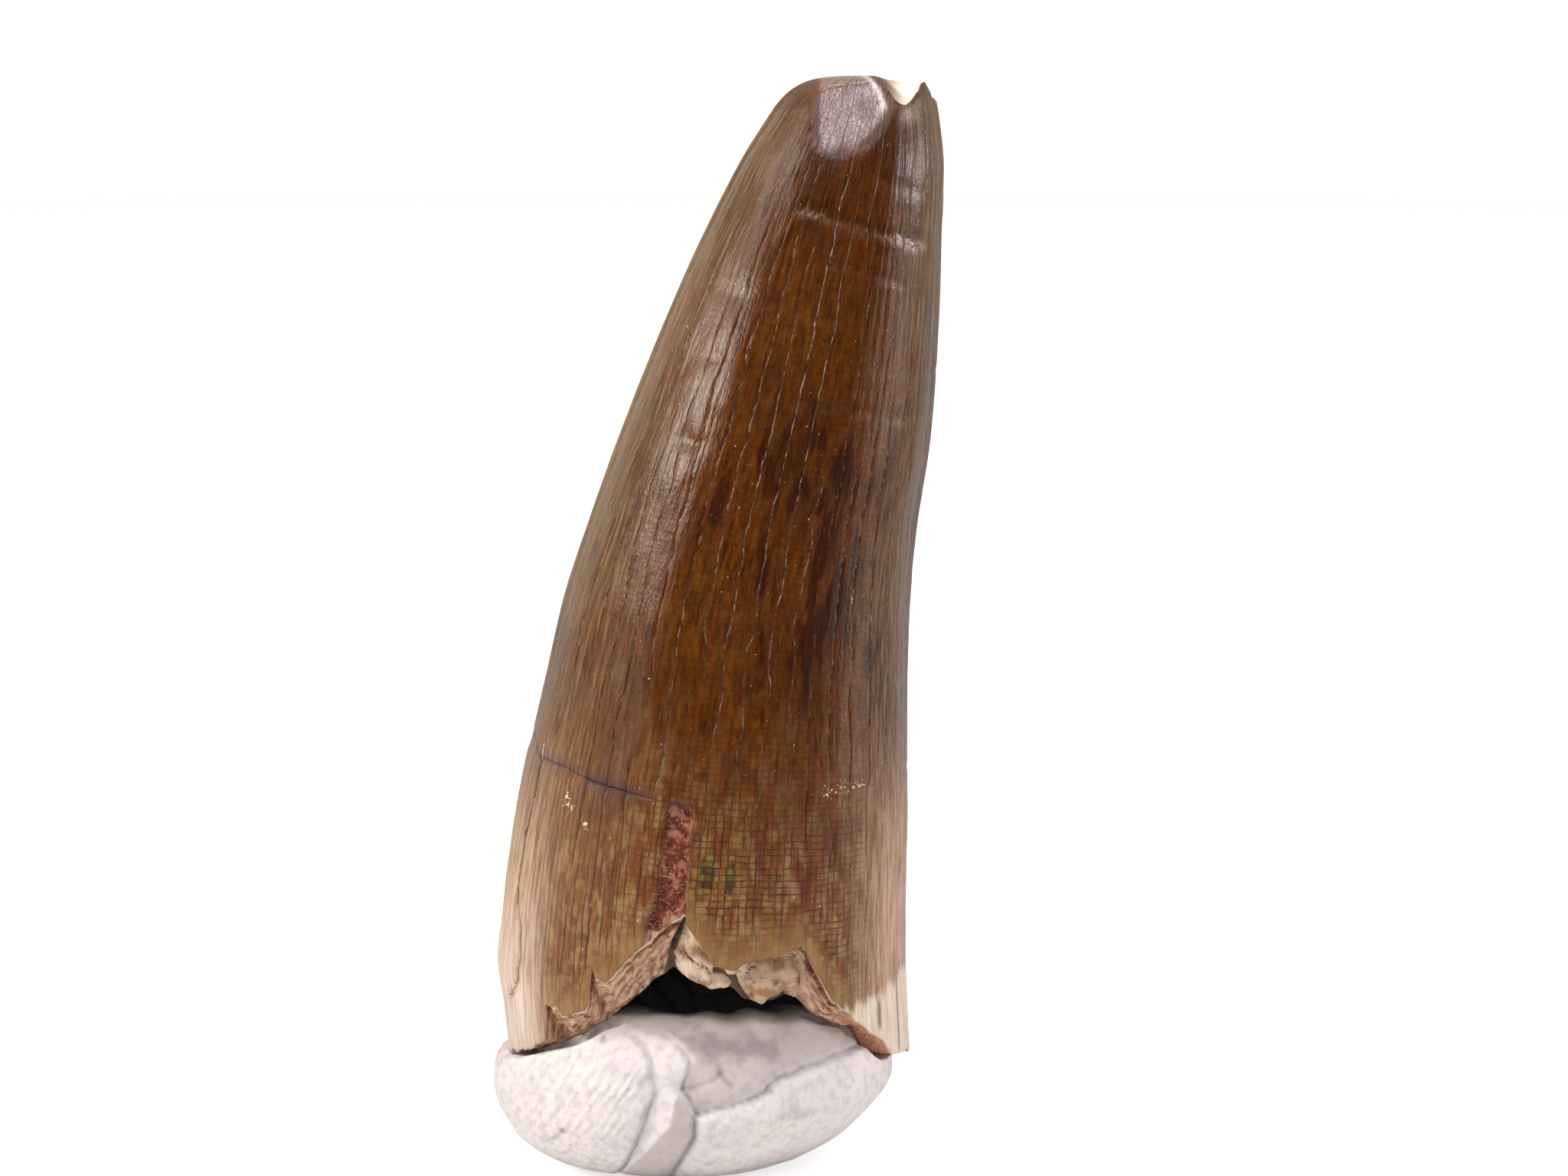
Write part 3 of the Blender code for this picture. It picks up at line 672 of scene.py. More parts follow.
def fracture(turn, s):
    """The broken face, from the enamel's edge at s = 0 to the cavity's at s = 1.

    It is a straight blend of the two edges, drawn in early under the lip. Lumps push it out and down,
    the recess and its crevice push it in and up, and noise roughens it.
    """
    outer = outer_wall(turn, np.ones_like(turn))
    inner = cavity_wall(turn, np.zeros_like(turn))
    undercut = hump(turn, LIP_TURN, LIP_SPREAD)
    inward = s + undercut * (ease(s, 0.0, 0.33) - s) * 0.45 * (1 - s)
    down = s ** (1 + undercut)
    point = outer + (inner - outer) * np.stack([inward, inward, down], axis=-1)
    recessed = behind_lip(turn, s)
    sunk = RECESS * recessed * ease(s, 0.0, 0.10) * (1 - ease(s, 0.35, 0.85)) + 0.10 * pit(turn, s)
    rough = (0.12 - 0.06 * recessed) * turn_noise(turn, 150, s * 4.0 + 9.0, 64, 4)
    fibres = 0.03 * (1 - recessed) * turn_noise(turn, 40, s * 7.0, 65)
    inside = ease(s, 0.0, 0.10) * ease(1 - s, 0.0, 0.10)
    raised = matrix_lumps(turn, s)[0] * ease(1 - s, 0.0, 0.06) * ease(s, 0.0, 0.10)
    push = raised - sunk + (rough + fibres) * inside
    angle = np.radians(turn)
    point[..., 0] += 0.7 * push * np.sin(angle)
    point[..., 1] -= 0.9 * push * np.cos(angle)
    point[..., 2] -= 0.4 * push
    return point


# %% [markdown]
# ## From rows of points to a closed mesh
#
# A skin is a list of stretches. Each stretch is a function of turn and share, and gives rows of points.
# The first row and the last are single points, the poles, and become fans of triangles. Between them,
# four neighbours make a face, and the last column joins the first, so there is no open seam. The
# columns stand closer together at the front, where the finest detail is. Maps go along: one unrolls the
# skin without overlaps, and the tooth has two more, which carry the patterns that its material reads.

# %% Make a rolled skin
FRONT_CROWDING = 0.45


def front_crowded_turns(columns):
    """Turns from -180 to 180: an even sweep, less a sine that crowds it at the front."""
    sweep = 2 * np.pi * (np.linspace(0, 1, columns + 1) - 0.5)
    return np.degrees(sweep - FRONT_CROWDING * np.sin(sweep))


def face_corners(row_count, columns):
    """Row and column of every face corner: triangles at the two poles, and quads between them."""
    across = np.arange(columns)
    first = np.stack([0 * across, 0 * across + 1, 0 * across + 1]), np.stack([across, across, across + 1])
    last_row = row_count - 1
    last = (np.stack([0 * across + last_row - 1, 0 * across + last_row, 0 * across + last_row - 1]),
            np.stack([across, across, across + 1]))
    r, c = np.meshgrid(np.arange(1, last_row - 1), across, indexing="ij")
    r, c = r.ravel(), c.ravel()
    quads = np.stack([r, r + 1, r + 1, r]), np.stack([c, c, c + 1, c + 1])
    rows = np.concatenate([first[0].T.ravel(), quads[0].T.ravel(), last[0].T.ravel()])
    cols = np.concatenate([first[1].T.ravel(), quads[1].T.ravel(), last[1].T.ravel()])
    sizes = np.concatenate([np.full(columns, 3), np.full(len(r), 4), np.full(columns, 3)])
    return rows, cols, sizes


def fill_mesh(name, points, maps, values):
    """A closed mesh from rows of points, in millimetres.

    points has a row for each step and a column for each turn, the last column repeating the first. maps
    holds pairs of numbers for each point and keeps the last column, because a map has a seam. values
    holds single numbers or vectors for each vertex.
    """
    row_count, columns = points.shape[0], points.shape[1] - 1
    rows, cols, sizes = face_corners(row_count, columns)
    inner = points[1:-1, :-1].reshape(-1, 3)
    vertices = np.concatenate([points[0, :1], inner, points[-1, :1]]) * METRES_PER_MM
    index = 1 + (rows - 1) * columns + cols % columns
    index = np.where(rows == 0, 0, np.where(rows == row_count - 1, len(vertices) - 1, index))

    mesh = bpy.data.meshes.new(name)
    mesh.vertices.add(len(vertices))
    mesh.vertices.foreach_set("co", vertices.astype(np.float32).ravel())
    mesh.loops.add(len(index))
    mesh.loops.foreach_set("vertex_index", index.astype(np.int32))
    mesh.polygons.add(len(sizes))
    mesh.polygons.foreach_set("loop_start", np.concatenate([[0], np.cumsum(sizes)[:-1]]).astype(np.int32))
    mesh.update(calc_edges=True)
    mesh.polygons.foreach_set("use_smooth", np.ones(len(sizes), dtype=bool))
    for key, grid in maps.items():
        layer = mesh.uv_layers.new(name=key)
        layer.uv.foreach_set("vector", grid[rows, cols].astype(np.float32).ravel())
    for key, grid in values.items():
        flat = np.concatenate([grid[0, :1], grid[1:-1, :-1].reshape((-1,) + grid.shape[2:]), grid[-1, :1]])
        kind, slot = ("FLOAT_VECTOR", "vector") if grid.ndim == 3 else ("FLOAT", "value")
        mesh.attributes.new(key, kind, "POINT").data.foreach_set(slot, flat.astype(np.float32).ravel())
    thing = bpy.data.objects.new(name, mesh)
    bpy.context.scene.collection.objects.link(thing)
    triangles = int((sizes - 2).sum())
    print(name, "has", len(vertices), "points and", triangles, "triangles")
    return thing


def stretch(function, turns, shares):
    """Rows of points along one stretch of skin, with the turn and share of each point."""
    grid_turns, grid_shares = np.meshgrid(turns, shares)
    return function(grid_turns, grid_shares), grid_turns, grid_shares


def joined_stretches(*stretches):
    """Points, turns and shares of stretches laid end to end, and which stretch each point is on."""
    points, turns, shares = [np.concatenate(grids) for grids in zip(*stretches)]
    numbers = [np.full(stretch_of_skin[1].shape, i) for i, stretch_of_skin in enumerate(stretches)]
    return points, turns, shares, np.concatenate(numbers)


def unrolled(turns):
    """A map of the skin laid flat: the share of the way round, and of the way up from the last row."""
    row_count, column_count = turns.shape
    across = np.linspace(0, 1, column_count)[None, :] + 0 * turns
    up = np.linspace(1, 0, row_count)[:, None] + 0 * turns
    return np.stack([across, up], axis=-1)


# %% [markdown]
# ## The tooth's mesh
#
# The tooth is one closed skin: from the middle of the tip out to the rim, down the enamel, across the
# broken face and up into the cavity. Alongside the points go the values that tell its finishes apart:
# where dentine is bare, where iron has stained it, how far across the broken face a point lies, and
# where the enamel is pale. Some of them mark where shade, sheen and highlights are painted.

# %% The tooth's mesh
TOOTH_COLUMNS = 460
CAP_STEPS = 16
WALL_STEPS = 156
WALL_CROWDING = 1.10
FRACTURE_STEPS = 28
CAVITY_STEPS = 14
PALE_FOOT = ((41.0, 7.6), (56.0, 7.4), (58.5, 7.7), (66.0, 8.1), (78.0, 8.3), (95.0, 7.4), (120.0, 6.0))
SLITS = ((58.5, 6.3, 7.6), (70.5, 4.9, 8.6))
FAR_FROM_EDGE = 50.0
PATTERN_RADIUS = 8.0
MAP_HEIGHT = 50.0
DEEP_RING = 0.10
# Dark stains on the crown: turn, height, half width in degrees, half height, strength
STAINS = (
    (-2.0, 30.2, 5.0, 0.9, 1.0), (11.0, 29.2, 5.0, 0.9, 0.8), (27.5, 29.6, 6.0, 1.6, 1.0),
    (25.5, 27.0, 4.0, 1.3, 0.9), (36.5, 25.4, 4.0, 2.2, 0.8), (24.0, 23.3, 5.0, 1.9, 1.0),
    (6.0, 26.3, 4.0, 1.5, 0.8), (31.0, 24.3, 5.0, 1.4, 0.9), (-16.0, 29.0, 3.5, 1.6, 0.6),
    (16.0, 31.2, 7.0, 0.7, 0.5), (47.0, 28.5, 6.0, 3.5, 0.5), (52.0, 21.5, 6.0, 2.0, 0.5),
    (3.0, 15.1, 4.0, 0.5, 0.6), (16.0, 14.4, 5.0, 0.8, 0.6), (30.5, 13.3, 6.0, 0.9, 0.7),
    (40.5, 14.7, 5.0, 0.8, 0.6), (-21.0, 14.4, 5.0, 1.1, 0.6), (-30.0, 13.3, 5.0, 1.1, 0.6),
    (-52.0, 14.4, 6.0, 1.2, 0.4), (150.0, 27.0, 9.0, 1.8, 0.9), (-140.0, 31.0, 8.0, 1.2, 0.8),
    (175.0, 21.0, 9.0, 2.0, 0.8), (-118.0, 24.0, 8.0, 1.5, 0.6), (110.0, 33.0, 9.0, 1.5, 0.7),
)
# Green patches of the lower band, in the same columns
OLIVES = (
    (0.0, 13.8, 2.4, 0.95, 1.3), (6.8, 13.6, 1.5, 0.75, 1.3), (-100.0, 12.0, 6.0, 1.2, 1.3),
    (145.0, 14.0, 6.0, 1.0, 1.3),
)
# Clusters of cream specks, in the same columns
CREAM_SPOTS = (
    (-48.0, 16.4, 1.6, 0.32, 1.0), (-45.5, 16.0, 1.4, 0.25, 1.0), (-38.7, 15.4, 1.1, 0.30, 1.0),
    (36.0, 16.8, 6.0, 0.16, 1.0), (47.0, 16.9, 6.0, 0.18, 1.0), (10.5, 31.6, 0.5, 0.10, 1.0),
    (-33.5, 12.2, 0.8, 0.15, 1.0), (41.0, 24.5, 0.5, 0.25, 1.0), (100.0, 20.0, 3.0, 0.4, 1.0),
    (-120.0, 18.5, 4.0, 0.3, 1.0),
)

tooth_turns = front_crowded_turns(TOOTH_COLUMNS)
cap = stretch(tip_cap, tooth_turns, (np.linspace(0, 1, CAP_STEPS + 1) ** 0.6)[:-1])
wall = stretch(outer_wall, tooth_turns, 1 - np.linspace(1, 0, WALL_STEPS + 1) ** WALL_CROWDING)
face = stretch(fracture, tooth_turns, np.linspace(0, 1, FRACTURE_STEPS + 1)[1:-1])
inside = stretch(cavity_wall, tooth_turns, np.linspace(0, 1, CAVITY_STEPS + 1) ** 0.8)
tooth_points, tooth_turn, tooth_share, number = joined_stretches(cap, wall, face, inside)
on_cap, on_wall, on_face, in_cavity = number == 0, number == 1, number == 2, number == 3
across_face = np.where(on_face, tooth_share, 0.0)

tooth_height = tooth_points[..., 2]
level = growth_level(tooth_turn, tooth_height)
strip = strip_mask(tooth_turn, tooth_height) * on_wall
on_break = break_share(tooth_points[..., 0], tooth_points[..., 1])
tip_break = on_break * on_cap
beside_crack = crack_offset(tooth_turn, tooth_height)
fill_span = ease(tooth_height, 6.6, 7.6) * (1 - ease(tooth_height, 11.0, 12.0))
side_fill = hump(beside_crack, 0.8, 1.1) * fill_span * on_wall
on_crack = (1 - ease(tooth_height, 18.2, 18.5)) * ease(tooth_height, 6.8, 7.4) * on_wall
foot_line = np.interp(tooth_turn, *np.array(PALE_FOOT).T, left=0.0, right=0.0)
foot_line = foot_line + 0.5 * turn_noise(tooth_turn, 90, 1.5, 71, 3)
pale_foot = (1 - ease(tooth_height, foot_line - 0.15, foot_line + 0.25)) * ease(tooth_turn, 38.0, 44.0)
left_foot = 0.9 * (1 - ease(tooth_height, 6.0, 13.5)) * (1 - ease(tooth_turn, -64.0, -44.0))
left_foot = left_foot * ease(tooth_turn, -170.0, -120.0)
# Low flanks turn grey-pink: part pale colour, part painted sheen.
flank = ease(np.abs(tooth_turn), 40.0, 66.0) * (1 - ease(tooth_height, 11.0, 20.0))
# Sides where olive, pale and grey streaks go: part colour, part painted sheen.
sides = (1 - ease(tooth_turn, -60.0, -26.0)) + ease(tooth_turn, 36.0, 60.0)
# Painted highlight: a pale glow just below the valley of the broken tip.
glow_below_valley = hump(tooth_turn, 42.0, 8.0) * hump(tooth_height, 44.15, 0.35)
slits = sum(hump(tooth_turn, at, 0.8) * ease(tooth_height, low - 0.2, low + 0.2)
            * (1 - ease(tooth_height, high - 0.3, high + 0.1)) for at, low, high in SLITS)
stain = marks(tooth_turn, tooth_height, STAINS)
olive = np.clip(marks(tooth_turn, tooth_height, OLIVES), 0, 1)
face_rust = marks(tooth_turn, across_face, FACE_RUST) * on_face
strip_cream = 0.8 * hump(tooth_turn, -8.5, 2.0) * hump(tooth_height, 12.9, 0.6)
strip_cream = strip_cream + 0.5 * hump(tooth_turn, -11.0, 1.2) * hump(tooth_height, 15.0, 0.5)
strip_cream = strip_cream + (1 - ease(tooth_height, 11.9, 12.3)) * ease(tooth_turn, -13.0, -11.5)
near_strip = hump(tooth_turn, -9.5, 9.0) * ease(tooth_height, 11.2, 11.6) * on_wall
dusty = marks(tooth_turn, tooth_height, CREAM_SPOTS) * on_wall
ring_height = np.where(on_wall, above_main_ring(tooth_turn, tooth_height), FAR_FROM_EDGE)
beside_side_crack = np.where(on_crack > 0.5, np.clip(beside_crack, -20, 20), FAR_FROM_EDGE)
face_turn, face_share = tooth_turn * on_face, across_face * on_face
top_lump, next_lump = matrix_lumps(face_turn, face_share)
in_matrix = behind_lip(face_turn, face_share) * on_face
# Painted shade: darker where two lumps meet and in the pit, where shade falls.
lump_crevice_shade = hump(top_lump - next_lump, 0.0, 0.045) * in_matrix
pit_shade = pit(face_turn, face_share) * on_face
# Growth rings: a dark line just above each, part stain and part painted shade on the step that faces down,
# and pale patches below it, painted highlights on the slope that faces up.
ring_dark = np.clip(ring_sum(tooth_turn, level, lambda gap: hump(gap, 0.05, 0.06)) / DEEP_RING, 0, 1)
ring_dark = ring_dark * (0.30 + 0.70 * ease(tooth_turn, 4.0, 12.0))
ring_dark = ring_dark * (1 - 0.4 * ease(tooth_height, 38.0, 40.0)) * on_wall
ring_pale = np.clip(ring_sum(tooth_turn, level, lambda gap: hump(gap, -0.26, 0.15)) / DEEP_RING, 0, 1)
ring_pale = ring_pale * (0.30 + 0.70 * ease(tooth_turn, 29.0, 34.0)) * on_wall
weave = ease(tooth_turn, -34.0, -10.0) * (1 - ease(tooth_turn, 46.0, 60.0)) * on_wall
rim_gap = rim_height(tooth_turn) - tooth_height
back_rim = (1 - ease(rim_gap, 0.05, 0.25)) * ease(np.abs(tooth_turn), 80.0, 100.0) * on_wall * on_break
foot_face = ease(tooth_turn, 43.0, 48.0) * (1 - ease(tooth_turn, 66.0, 74.0)) * on_face
rust = np.clip(2 * near_strip * (1 - 0.8 * np.clip(strip_cream, 0, 1)) + face_rust, 0, 1)
bare = np.clip(strip + tip_break + back_rim + side_fill + on_face + in_cavity, 0, 1)
flat, shiny = on_flat(tooth_points) * (on_cap | on_wall), polish(tooth_points)

toward_x, toward_front = np.sin(np.radians(tooth_turn)), np.cos(np.radians(tooth_turn))
crack_map = [crack_phase(tooth_turn, level) / CRACK_COUNT, crack_presence(tooth_turn, level)]
tooth = fill_mesh(
    "fossil_tooth",
    tooth_points,
    maps={
        "unrolled": unrolled(tooth_turn),
        "growth": np.stack([around(tooth_turn, 1), level / MAP_HEIGHT], axis=-1),
        "cracks": np.stack(crack_map, axis=-1),
    },
    values={
        "along": np.stack([PATTERN_RADIUS * toward_x, -PATTERN_RADIUS * toward_front, level], axis=-1),
        "bare": bare,
        "rust": rust,
        "across": across_face + in_cavity,
        # Marks the cavity, which the material paints near-black as painted shade.
        "inside": 1.0 * in_cavity,
        "pale": np.clip(pale_foot + 0.35 * glow_below_valley, 0, 1) * on_wall,
        "left_foot": left_foot * on_wall,
        "sides": sides * on_wall,
        "slit": slits * on_wall,
        "beside": beside_side_crack,
        "ring_height": ring_height,
        "dusty": dusty,
        # Painted shade: a dark line along the edges of the flaked strip.
        "rim": 4 * strip * (1 - strip),
        "matrix": in_matrix,
        # Painted shade in the crevices between lumps and in the pit.
        "crevice": np.clip(lump_crevice_shade + 1.5 * pit_shade, 0, 1),
        "ring_dark": ring_dark,
        "ring_pale": ring_pale,
        "weave": weave,
        "foot_face": foot_face,
        "tan_lumps": ease(face_turn, 12.0, 17.0) * on_face,
        # The chip at the tip: cream dentine, painted near-white as painted light from above.
        "chip": np.clip(tip_break + back_rim, 0, 1),
        "dull_flat": flat * (1 - shiny * (1 - dulled(tooth_points))),
        "polish": flat * shiny,
        "gleam": flat * shiny * gleam(tooth_points),
        "above_edge": np.where(on_wall, tooth_height - outer_edge(tooth_turn), FAR_FROM_EDGE),
        "flank": flank * on_wall,
        "stain": stain * on_wall,
        "olive": olive * on_wall,
    },
)

# %% [markdown]
# ## Building materials from nodes
#
# A material here is a small program: it reads the maps and values of the mesh, breaks them up with
# noise, and lays coats of colour over each other. These helpers keep each step to one line. Colours are
# written as they look on a screen, three values from 0 to 255, and turned into the linear light that
# Blender mixes. A colour of four values is linear already.

# %% Node helpers
def linear_light(colour):
    """Three screen values turned into linear light."""
    share = np.array(colour) / 255
    linear = np.where(share <= 0.04045, share / 12.92, ((share + 0.055) / 1.055) ** 2.4)
    return tuple(float(channel) for channel in linear) + (1.0,)


class Nodes:
    """The nodes of a material or of the world. Sockets go into each step and one comes out."""

    def __init__(self, owner):
        owner.use_nodes = True
        self.owner = owner
        self.tree = owner.node_tree

    def add(self, kind, inputs=(), **settings):
        """One node, with settings and inputs."""
        node = self.tree.nodes.new(kind)
        for key, value in settings.items():
            setattr(node, key, value)
        for key, value in dict(inputs).items():
            self.put(node.inputs[key], value)
        return node

    def put(self, socket, value):
        """Link a socket, or set a constant."""
        if isinstance(value, bpy.types.NodeSocket):
            self.tree.links.new(value, socket)
        elif socket.type == "RGBA" and len(value) == 3:
            socket.default_value = linear_light(value)
        else:
            socket.default_value = value

    def shade(self, name, value):
        """Set an input of the material's shader."""
        self.put(self.tree.nodes["Principled BSDF"].inputs[name], value)

    def value(self, name):
        """A value that was stored on the mesh."""
        return self.add("ShaderNodeAttribute", attribute_name=name).outputs["Fac"]

    def vector(self, name):
        """A vector that was stored on the mesh."""
        return self.add("ShaderNodeAttribute", attribute_name=name).outputs["Vector"]

    def place(self):
        """Where a point lies on the object, in metres."""
        return self.add("ShaderNodeTexCoord").outputs["Object"]

    def pair(self, name):
        """The two numbers of a map."""
        uv = self.add("ShaderNodeUVMap", uv_map=name).outputs["UV"]
        split = self.add("ShaderNodeSeparateXYZ", {"Vector": uv})
        return split.outputs["X"], split.outputs["Y"]

    def math(self, operation, a, b=0.0, c=0.0):
        node = self.add("ShaderNodeMath", operation=operation)
        for socket, value in zip(node.inputs, (a, b, c)):
            self.put(socket, value)
        return node.outputs["Value"]

    def times(self, product, *others):
        for other in others:
            product = self.math("MULTIPLY", product, other)
        return product

    def times_plus(self, a, b, c):
        """a times b, plus c."""
        return self.math("MULTIPLY_ADD", a, b, c)

    def scaled(self, vector, x, y, z):
        node = self.add("ShaderNodeVectorMath", {0: vector, 1: (x, y, z)}, operation="MULTIPLY")
        return node.outputs["Vector"]

    def joined(self, x, y, z=0.0):
        return self.add("ShaderNodeCombineXYZ", {"X": x, "Y": y, "Z": z}).outputs["Vector"]

    def remap(self, value, low, high, to_low=0.0, to_high=1.0):
        """Stretch low..high to another range, and hold the ends."""
        ends = {"From Min": low, "From Max": high, "To Min": to_low, "To Max": to_high}
        return self.add("ShaderNodeMapRange", {"Value": value, **ends}).outputs["Result"]

    def rise(self, value, low, high, most=1.0):
        """0 at low, climbing to most at high. Where high is below low, it climbs downwards."""
        return self.remap(value, low, high, 0.0, most)

    def grain(self, vector, detail=3.0, scale=1.0, roughness=0.55):
        """Noise from 0 to 1."""
        inputs = {"Vector": vector, "Scale": scale, "Detail": detail, "Roughness": roughness}
        return self.add("ShaderNodeTexNoise", inputs).outputs["Fac"]

    def mix(self, share, first, second):
        """Blend of two colours."""
        return self.add("ShaderNodeMix", {0: share, 6: first, 7: second}, data_type="RGBA").outputs[2]

    def coats(self, colour, *coats):
        """Coats laid over a colour in turn. Each is a share, from 0 to 1, and a colour."""
        for share, coat in coats:
            colour = self.mix(share, colour, coat)
        return colour

    def line(self, phase, half_width):
        """1 on a line at every whole phase, falling to 0 at half_width from it."""
        return self.remap(self.math("PINGPONG", phase, 0.5), 0.0, half_width, 1.0, 0.0)

    def bump(self, height, distance_mm):
        """The shader's normal, tilted by a height whose full step is a distance."""
        inputs = {"Height": height, "Distance": distance_mm * METRES_PER_MM, "Strength": 1.0}
        self.shade("Normal", self.add("ShaderNodeBump", inputs).outputs["Normal"])


# %% [markdown]
# ## Fossil enamel and dentine
#
# One material covers the whole tooth, because its finishes run into each other. The enamel is a
# semi-gloss dark brown on the crown, streaked with amber, and turns to golden tan towards the base,
# where it is crazed into little bricks by reddish lines. The bare dentine of the breaks is matte cream,
# stained rusty in places. The first cell makes the colours of the crown.

# %% Crown colours
DEEP_BROWN = (48, 20, 1)
BROWN = (92, 43, 1)
AMBER = (136, 76, 4)
RED_BROWN = (94, 33, 2)
CROWN_OLIVE = (102, 64, 12)
SIDE_OLIVE_AND_SHEEN = (108, 80, 40)
SIDE_PALE_AND_SHEEN = (142, 114, 84)
STAIN_BROWN = (46, 14, 5)

paint = Nodes(bpy.data.materials.new("fossil_enamel_and_dentine"))
along = paint.vector("along")
turn_share, level_share = paint.pair("growth")
mm_up = paint.times(level_share, MAP_HEIGHT)


def skin_grain(scale_round, scale_up, detail):
    """Noise that follows the growth of the tooth, with its scale round the tooth and up it."""
    return paint.grain(paint.scaled(along, scale_round, scale_round, scale_up), detail)


bands = skin_grain(1.1, 0.12, 2.0)
streaks = skin_grain(4.4, 1.1, 3.0)
mottle = skin_grain(2.0, 0.9, 4.0)
fine_streaks = skin_grain(13.0, 6.0, 2.0)
amber_streaks = skin_grain(4.2, 1.1, 3.0)
red_streaks = skin_grain(3.0, 0.80, 2.5)
side_streaks = skin_grain(6.6, 0.50, 2.5)
clouds = skin_grain(0.30, 0.16, 3.0)
patches = skin_grain(2.2, 0.55, 4.0)
growth_lines = skin_grain(0.9, 8.0, 2.0)
blotches = skin_grain(2.6, 0.8, 2.0)

on_sheen_sides = paint.value("sides")
crown_stain = paint.times_plus(paint.value("stain"), 0.26, patches)
crown = paint.coats(
    DEEP_BROWN,
    (paint.rise(streaks, 0.34, 0.62), BROWN),
    (paint.rise(amber_streaks, 0.46, 0.68, 0.45), AMBER),
    (paint.rise(mottle, 0.47, 0.62, 0.42), CROWN_OLIVE),
    (paint.rise(red_streaks, 0.50, 0.66, 0.60), RED_BROWN),
    (paint.rise(fine_streaks, 0.40, 0.66, 0.22), AMBER),
    (paint.rise(clouds, 0.52, 0.34, 0.35), DEEP_BROWN),
    (paint.rise(growth_lines, 0.48, 0.66, 0.30), DEEP_BROWN),
    (paint.rise(blotches, 0.54, 0.68, 0.30), DEEP_BROWN),
    (paint.rise(mm_up, 36.0, 42.0, 0.40), DEEP_BROWN),
    # On the sides, olive and pale streaks: part colour, part painted sheen.
    (paint.times(on_sheen_sides, paint.rise(side_streaks, 0.40, 0.56, 0.60)), SIDE_OLIVE_AND_SHEEN),
    (paint.times(on_sheen_sides, paint.rise(side_streaks, 0.54, 0.66, 0.60)), SIDE_PALE_AND_SHEEN),
    (paint.rise(crown_stain, 0.59, 0.69, 0.78), STAIN_BROWN),
)

# %% [markdown]
# Below the main growth ring the enamel is a fine weave. Two sets of lines cross: one follows the turns
# and one the growth levels, both gently bent by noise. The whole-number parts of the two phases number
# the little cells between the lines, so each cell can take its own tint.

# %% The woven crazing near the base
CELLS_ROUND = 176.0
CELL_HEIGHT = 0.27
LINE_HALF_WIDTH = 0.22
OLIVE = (136, 98, 34)
TAN = (146, 90, 36)
BRICK_RED = (114, 44, 16)
LOW_GREY_AND_SHEEN = (130, 94, 58)
DARK_CELL = (84, 40, 12)
PALE_CELL = (176, 146, 96)
GREEN_DARK = (62, 50, 18)
GREEN_BRIGHT = (126, 110, 44)
LINE_RED = (58, 22, 6)

bend = skin_grain(0.45, 0.45, 2.0)
jitter = skin_grain(2.4, 2.4, 2.0)
cell_across = paint.times_plus(turn_share, CELLS_ROUND, paint.times(jitter, 0.6))
bent_up = paint.times_plus(bend, 1.6, paint.times(jitter, 0.35))
cell_up = paint.times_plus(mm_up, 1 / CELL_HEIGHT, bent_up)
cell_number = paint.joined(paint.math("FLOOR", cell_across), paint.math("FLOOR", cell_up))
cell_noise = paint.add("ShaderNodeTexWhiteNoise", {"Vector": cell_number}, noise_dimensions="2D")
cell_tint = cell_noise.outputs["Value"]
cell_patches = paint.times_plus(cell_tint, 0.10, skin_grain(2.4, 1.0, 4.0))
woven = paint.remap(paint.value("weave"), 0.0, 1.0, 0.10, 1.0)
level_lines = paint.times(
    paint.line(cell_up, LINE_HALF_WIDTH), paint.rise(skin_grain(0.9, 4.0, 4.0), 0.34, 0.54), woven)
turn_lines = paint.times(
    paint.line(cell_across, LINE_HALF_WIDTH), paint.rise(skin_grain(4.0, 0.50, 4.0), 0.33, 0.54))
lines = paint.math("MAXIMUM", level_lines, turn_lines)

lower_stain = paint.times_plus(paint.value("stain"), 0.30, patches)
green = paint.mix(paint.rise(cell_tint, 0.45, 0.85), GREEN_DARK, GREEN_BRIGHT)
green_share = paint.times_plus(paint.math("SUBTRACT", cell_tint, 0.5), 0.5, paint.value("olive"))
lower = paint.coats(
    OLIVE,
    (paint.rise(streaks, 0.38, 0.62), TAN),
    (paint.rise(cell_tint, 0.25, 0.60, 0.45), BRICK_RED),
    (paint.rise(bands, 0.44, 0.60, 0.55), BRICK_RED),
    # On the sides, grey streaks: part colour, part painted sheen.
    (paint.times(on_sheen_sides, paint.remap(side_streaks, 0.38, 0.56, 0.25, 0.85)), LOW_GREY_AND_SHEEN),
    (paint.rise(cell_tint, 0.30, 0.05, 0.50), DARK_CELL),
    (paint.rise(cell_patches, 0.52, 0.68, 0.50), PALE_CELL),
    (paint.rise(lower_stain, 0.52, 0.72, 0.70), BRICK_RED),
    (paint.rise(green_share, 0.35, 0.60, 0.9), green),
)

# %% [markdown]
# The woven band runs into the crown at a cloudy border. Then come the cracks, the main ring and the pale
# margins. The crack map carries the crack phase, so a line drawn at each half phase falls into the
# modelled groove. Some cracks are filled with cream dust, which shows as pale dots and dashes on the
# crown. The last coats are the crumbs of rock, a painted sheen on the polished tip and a painted
# highlight on its gleaming rim.

